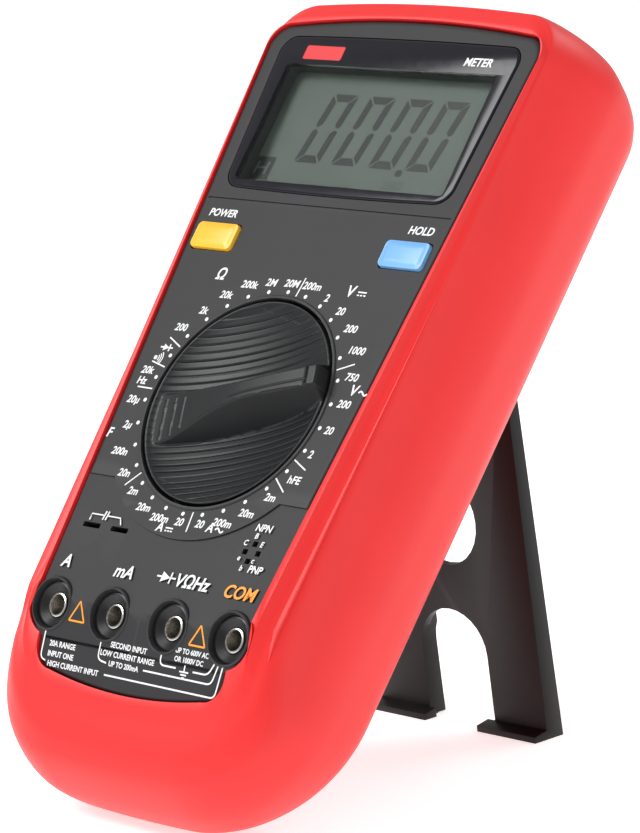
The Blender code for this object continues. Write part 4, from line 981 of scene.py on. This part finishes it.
def add_buttons(materials):
    """The two caps, each with soft edges and a slightly crowned top."""
    for kind, place in BUTTON_PLACES.items():
        look = materials["yellow" if kind == "power" else "blue"]
        width, height = BUTTON_SIZE
        steps = ((0.0, -4.2), (0.0, 0.2), (0.12, 0.75), (0.45, 1.15), (0.95, 1.35), (1.8, 1.42))
        rings = []
        for inset, z in steps:
            radius = max(0.5, 1.25 - 0.2 * inset)
            rings.append([(x, y, z - 0.012 * (x - place[0]) ** 2 * (z > 1.0))
                          for x, y in rounded(width - 2 * inset, height - 2 * inset, radius, place, 10)])
        add_piece(f"{kind}_cap", loft(rings), look, f"{kind}_button", [f"{kind}_button"], smooth=60.0)


def add_jacks(materials):
    """Each jack's dished black shroud and the metal sleeve inside it."""
    ring = turned(((5.3, -6.4), (5.3, -0.5), (5.2, -0.25), (4.95, -0.15)), 72)
    dish = turned(((3.05, -8.0), (3.05, -1.35), (4.8, -0.35), (5.0, 0.3)), 72)
    tube = turned(((2.9, -23.0), (2.9, -1.35), (2.8, -1.1), (2.6, -1.0)), 48)
    bore = turned(((2.1, -21.5), (2.1, -1.6), (2.4, -0.8)), 48)
    for name, x in zip(JACK_NAMES, JACK_X):
        place = jack_place(x)
        shroud = add_piece(f"shroud_{name}", ring, materials["black"], stands_for=[f"jack_shroud_{name}"],
                           place=place)
        combine(shroud, [dish], "DIFFERENCE", place=place, smooth=30.0)
        sleeve = add_piece(f"sleeve_{name}", tube, materials["nickel"], stands_for=[f"jack_sleeve_{name}"],
                           place=place)
        combine(sleeve, [bore], "DIFFERENCE", place=place, smooth=30.0)


# ---------------------------------------------------------------- stand

def add_stand(materials):
    """The moulded stand, from the CAD node's own shape with its edges rounded."""
    source = frame["nodes"]["kickstand"]
    stand = bpy.data.objects.new("stand_moulding", source.data.copy())
    bpy.context.scene.collection.objects.link(stand)
    stand.data.materials.clear()
    stand.data.materials.append(materials["stand"])
    weld = stand.modifiers.new("weld", "WELD")
    weld.merge_threshold = 0.00001
    settle(stand)
    flat = stand.modifiers.new("flat", "DECIMATE")
    flat.decimate_type = "DISSOLVE"
    flat.angle_limit = math.radians(0.5)
    settle(stand)
    soften(stand, 0.0004, 3)
    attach(stand, "kickstand")
    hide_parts("kickstand")


# ---------------------------------------------------------------- stage

CAMERA_OFFSET = Vector((0.63621, -0.60383, 0.16872))       # metres from the dial's centre
CAMERA_AZIMUTH = math.radians(45.284)
CAMERA_DOWN = math.radians(11.157)
CAMERA_ROLL = math.radians(-2.846)


def add_camera():
    """The camera, facing its azimuth and tilted down, then turned about its own line of sight."""
    forward = Vector((-math.sin(CAMERA_AZIMUTH) * math.cos(CAMERA_DOWN),
                      math.cos(CAMERA_AZIMUTH) * math.cos(CAMERA_DOWN), -math.sin(CAMERA_DOWN)))
    level = forward.cross(Vector((0.0, 0.0, 1.0))).normalized()
    upright = level.cross(forward)
    right = level * math.cos(CAMERA_ROLL) + upright * math.sin(CAMERA_ROLL)
    up = right.cross(forward)
    data = bpy.data.cameras.new("camera")
    data.sensor_width = 36.0
    data.lens = 172.9
    data.clip_start = 0.01
    data.clip_end = 50.0
    camera = bpy.data.objects.new("camera", data)
    bpy.context.scene.collection.objects.link(camera)
    camera.matrix_world = (Matrix.Translation(DIAL_CENTRE + CAMERA_OFFSET)
                           @ Matrix((right, up, -forward)).transposed().to_4x4())
    bpy.context.scene.camera = camera


def add_light(name, place, target, size, power):
    data = bpy.data.lights.new(name, "AREA")
    data.shape = "RECTANGLE"
    data.size, data.size_y = size
    data.energy = power
    light = bpy.data.objects.new(name, data)
    bpy.context.scene.collection.objects.link(light)
    light.location = place
    light.rotation_euler = (Vector(target) - Vector(place)).to_track_quat("-Z", "Y").to_euler()


def add_stage(materials):
    """A white floor and world, with three soft lights."""
    reach = 9.0
    floor = bpy.data.objects.new("floor", bpy.data.meshes.new("floor"))
    corners = [(-reach, -reach, 0), (reach, -reach, 0), (reach, reach, 0), (-reach, reach, 0)]
    floor.data.from_pydata(corners, [], [(0, 1, 2, 3)])
    floor.data.materials.append(materials["floor"])
    bpy.context.scene.collection.objects.link(floor)
    world = bpy.data.worlds.new("studio")
    world.use_nodes = True
    background = world.node_tree.nodes["Background"]
    background.inputs["Color"].default_value = (1.0, 1.0, 1.0, 1.0)
    background.inputs["Strength"].default_value = 0.5
    bpy.context.scene.world = world
    bpy.context.scene.view_settings.view_transform = "Standard"
    middle = (0.0, 0.0, 0.09)
    add_light("key", (-0.75, -0.95, 1.25), middle, (0.8, 0.8), 21.0)
    add_light("fill", (1.5, -0.2, 0.5), middle, (0.9, 0.9), 3.2)
    add_light("back", (0.4, 1.3, 1.2), middle, (0.9, 0.6), 6.4)


# ---------------------------------------------------------------- everything

def main():
    materials = make_materials()
    add_camera()
    add_holster(materials)
    add_front_case(materials)
    add_display(materials)
    add_badges(materials)
    add_dial_print(materials)
    add_panel_print(materials)
    add_knob(materials)
    add_buttons(materials)
    add_jacks(materials)
    add_stand(materials)
    replaced = {"holster", "front_case", "display_window", "lcd_glass", "range_knob", "power_button",
                "hold_button", "kickstand", *(f"jack_shroud_{n}" for n in JACK_NAMES),
                *(f"jack_sleeve_{n}" for n in JACK_NAMES)}
    dress_inner_nodes(replaced)
    add_stage(materials)
    bpy.context.view_layer.update()


main()
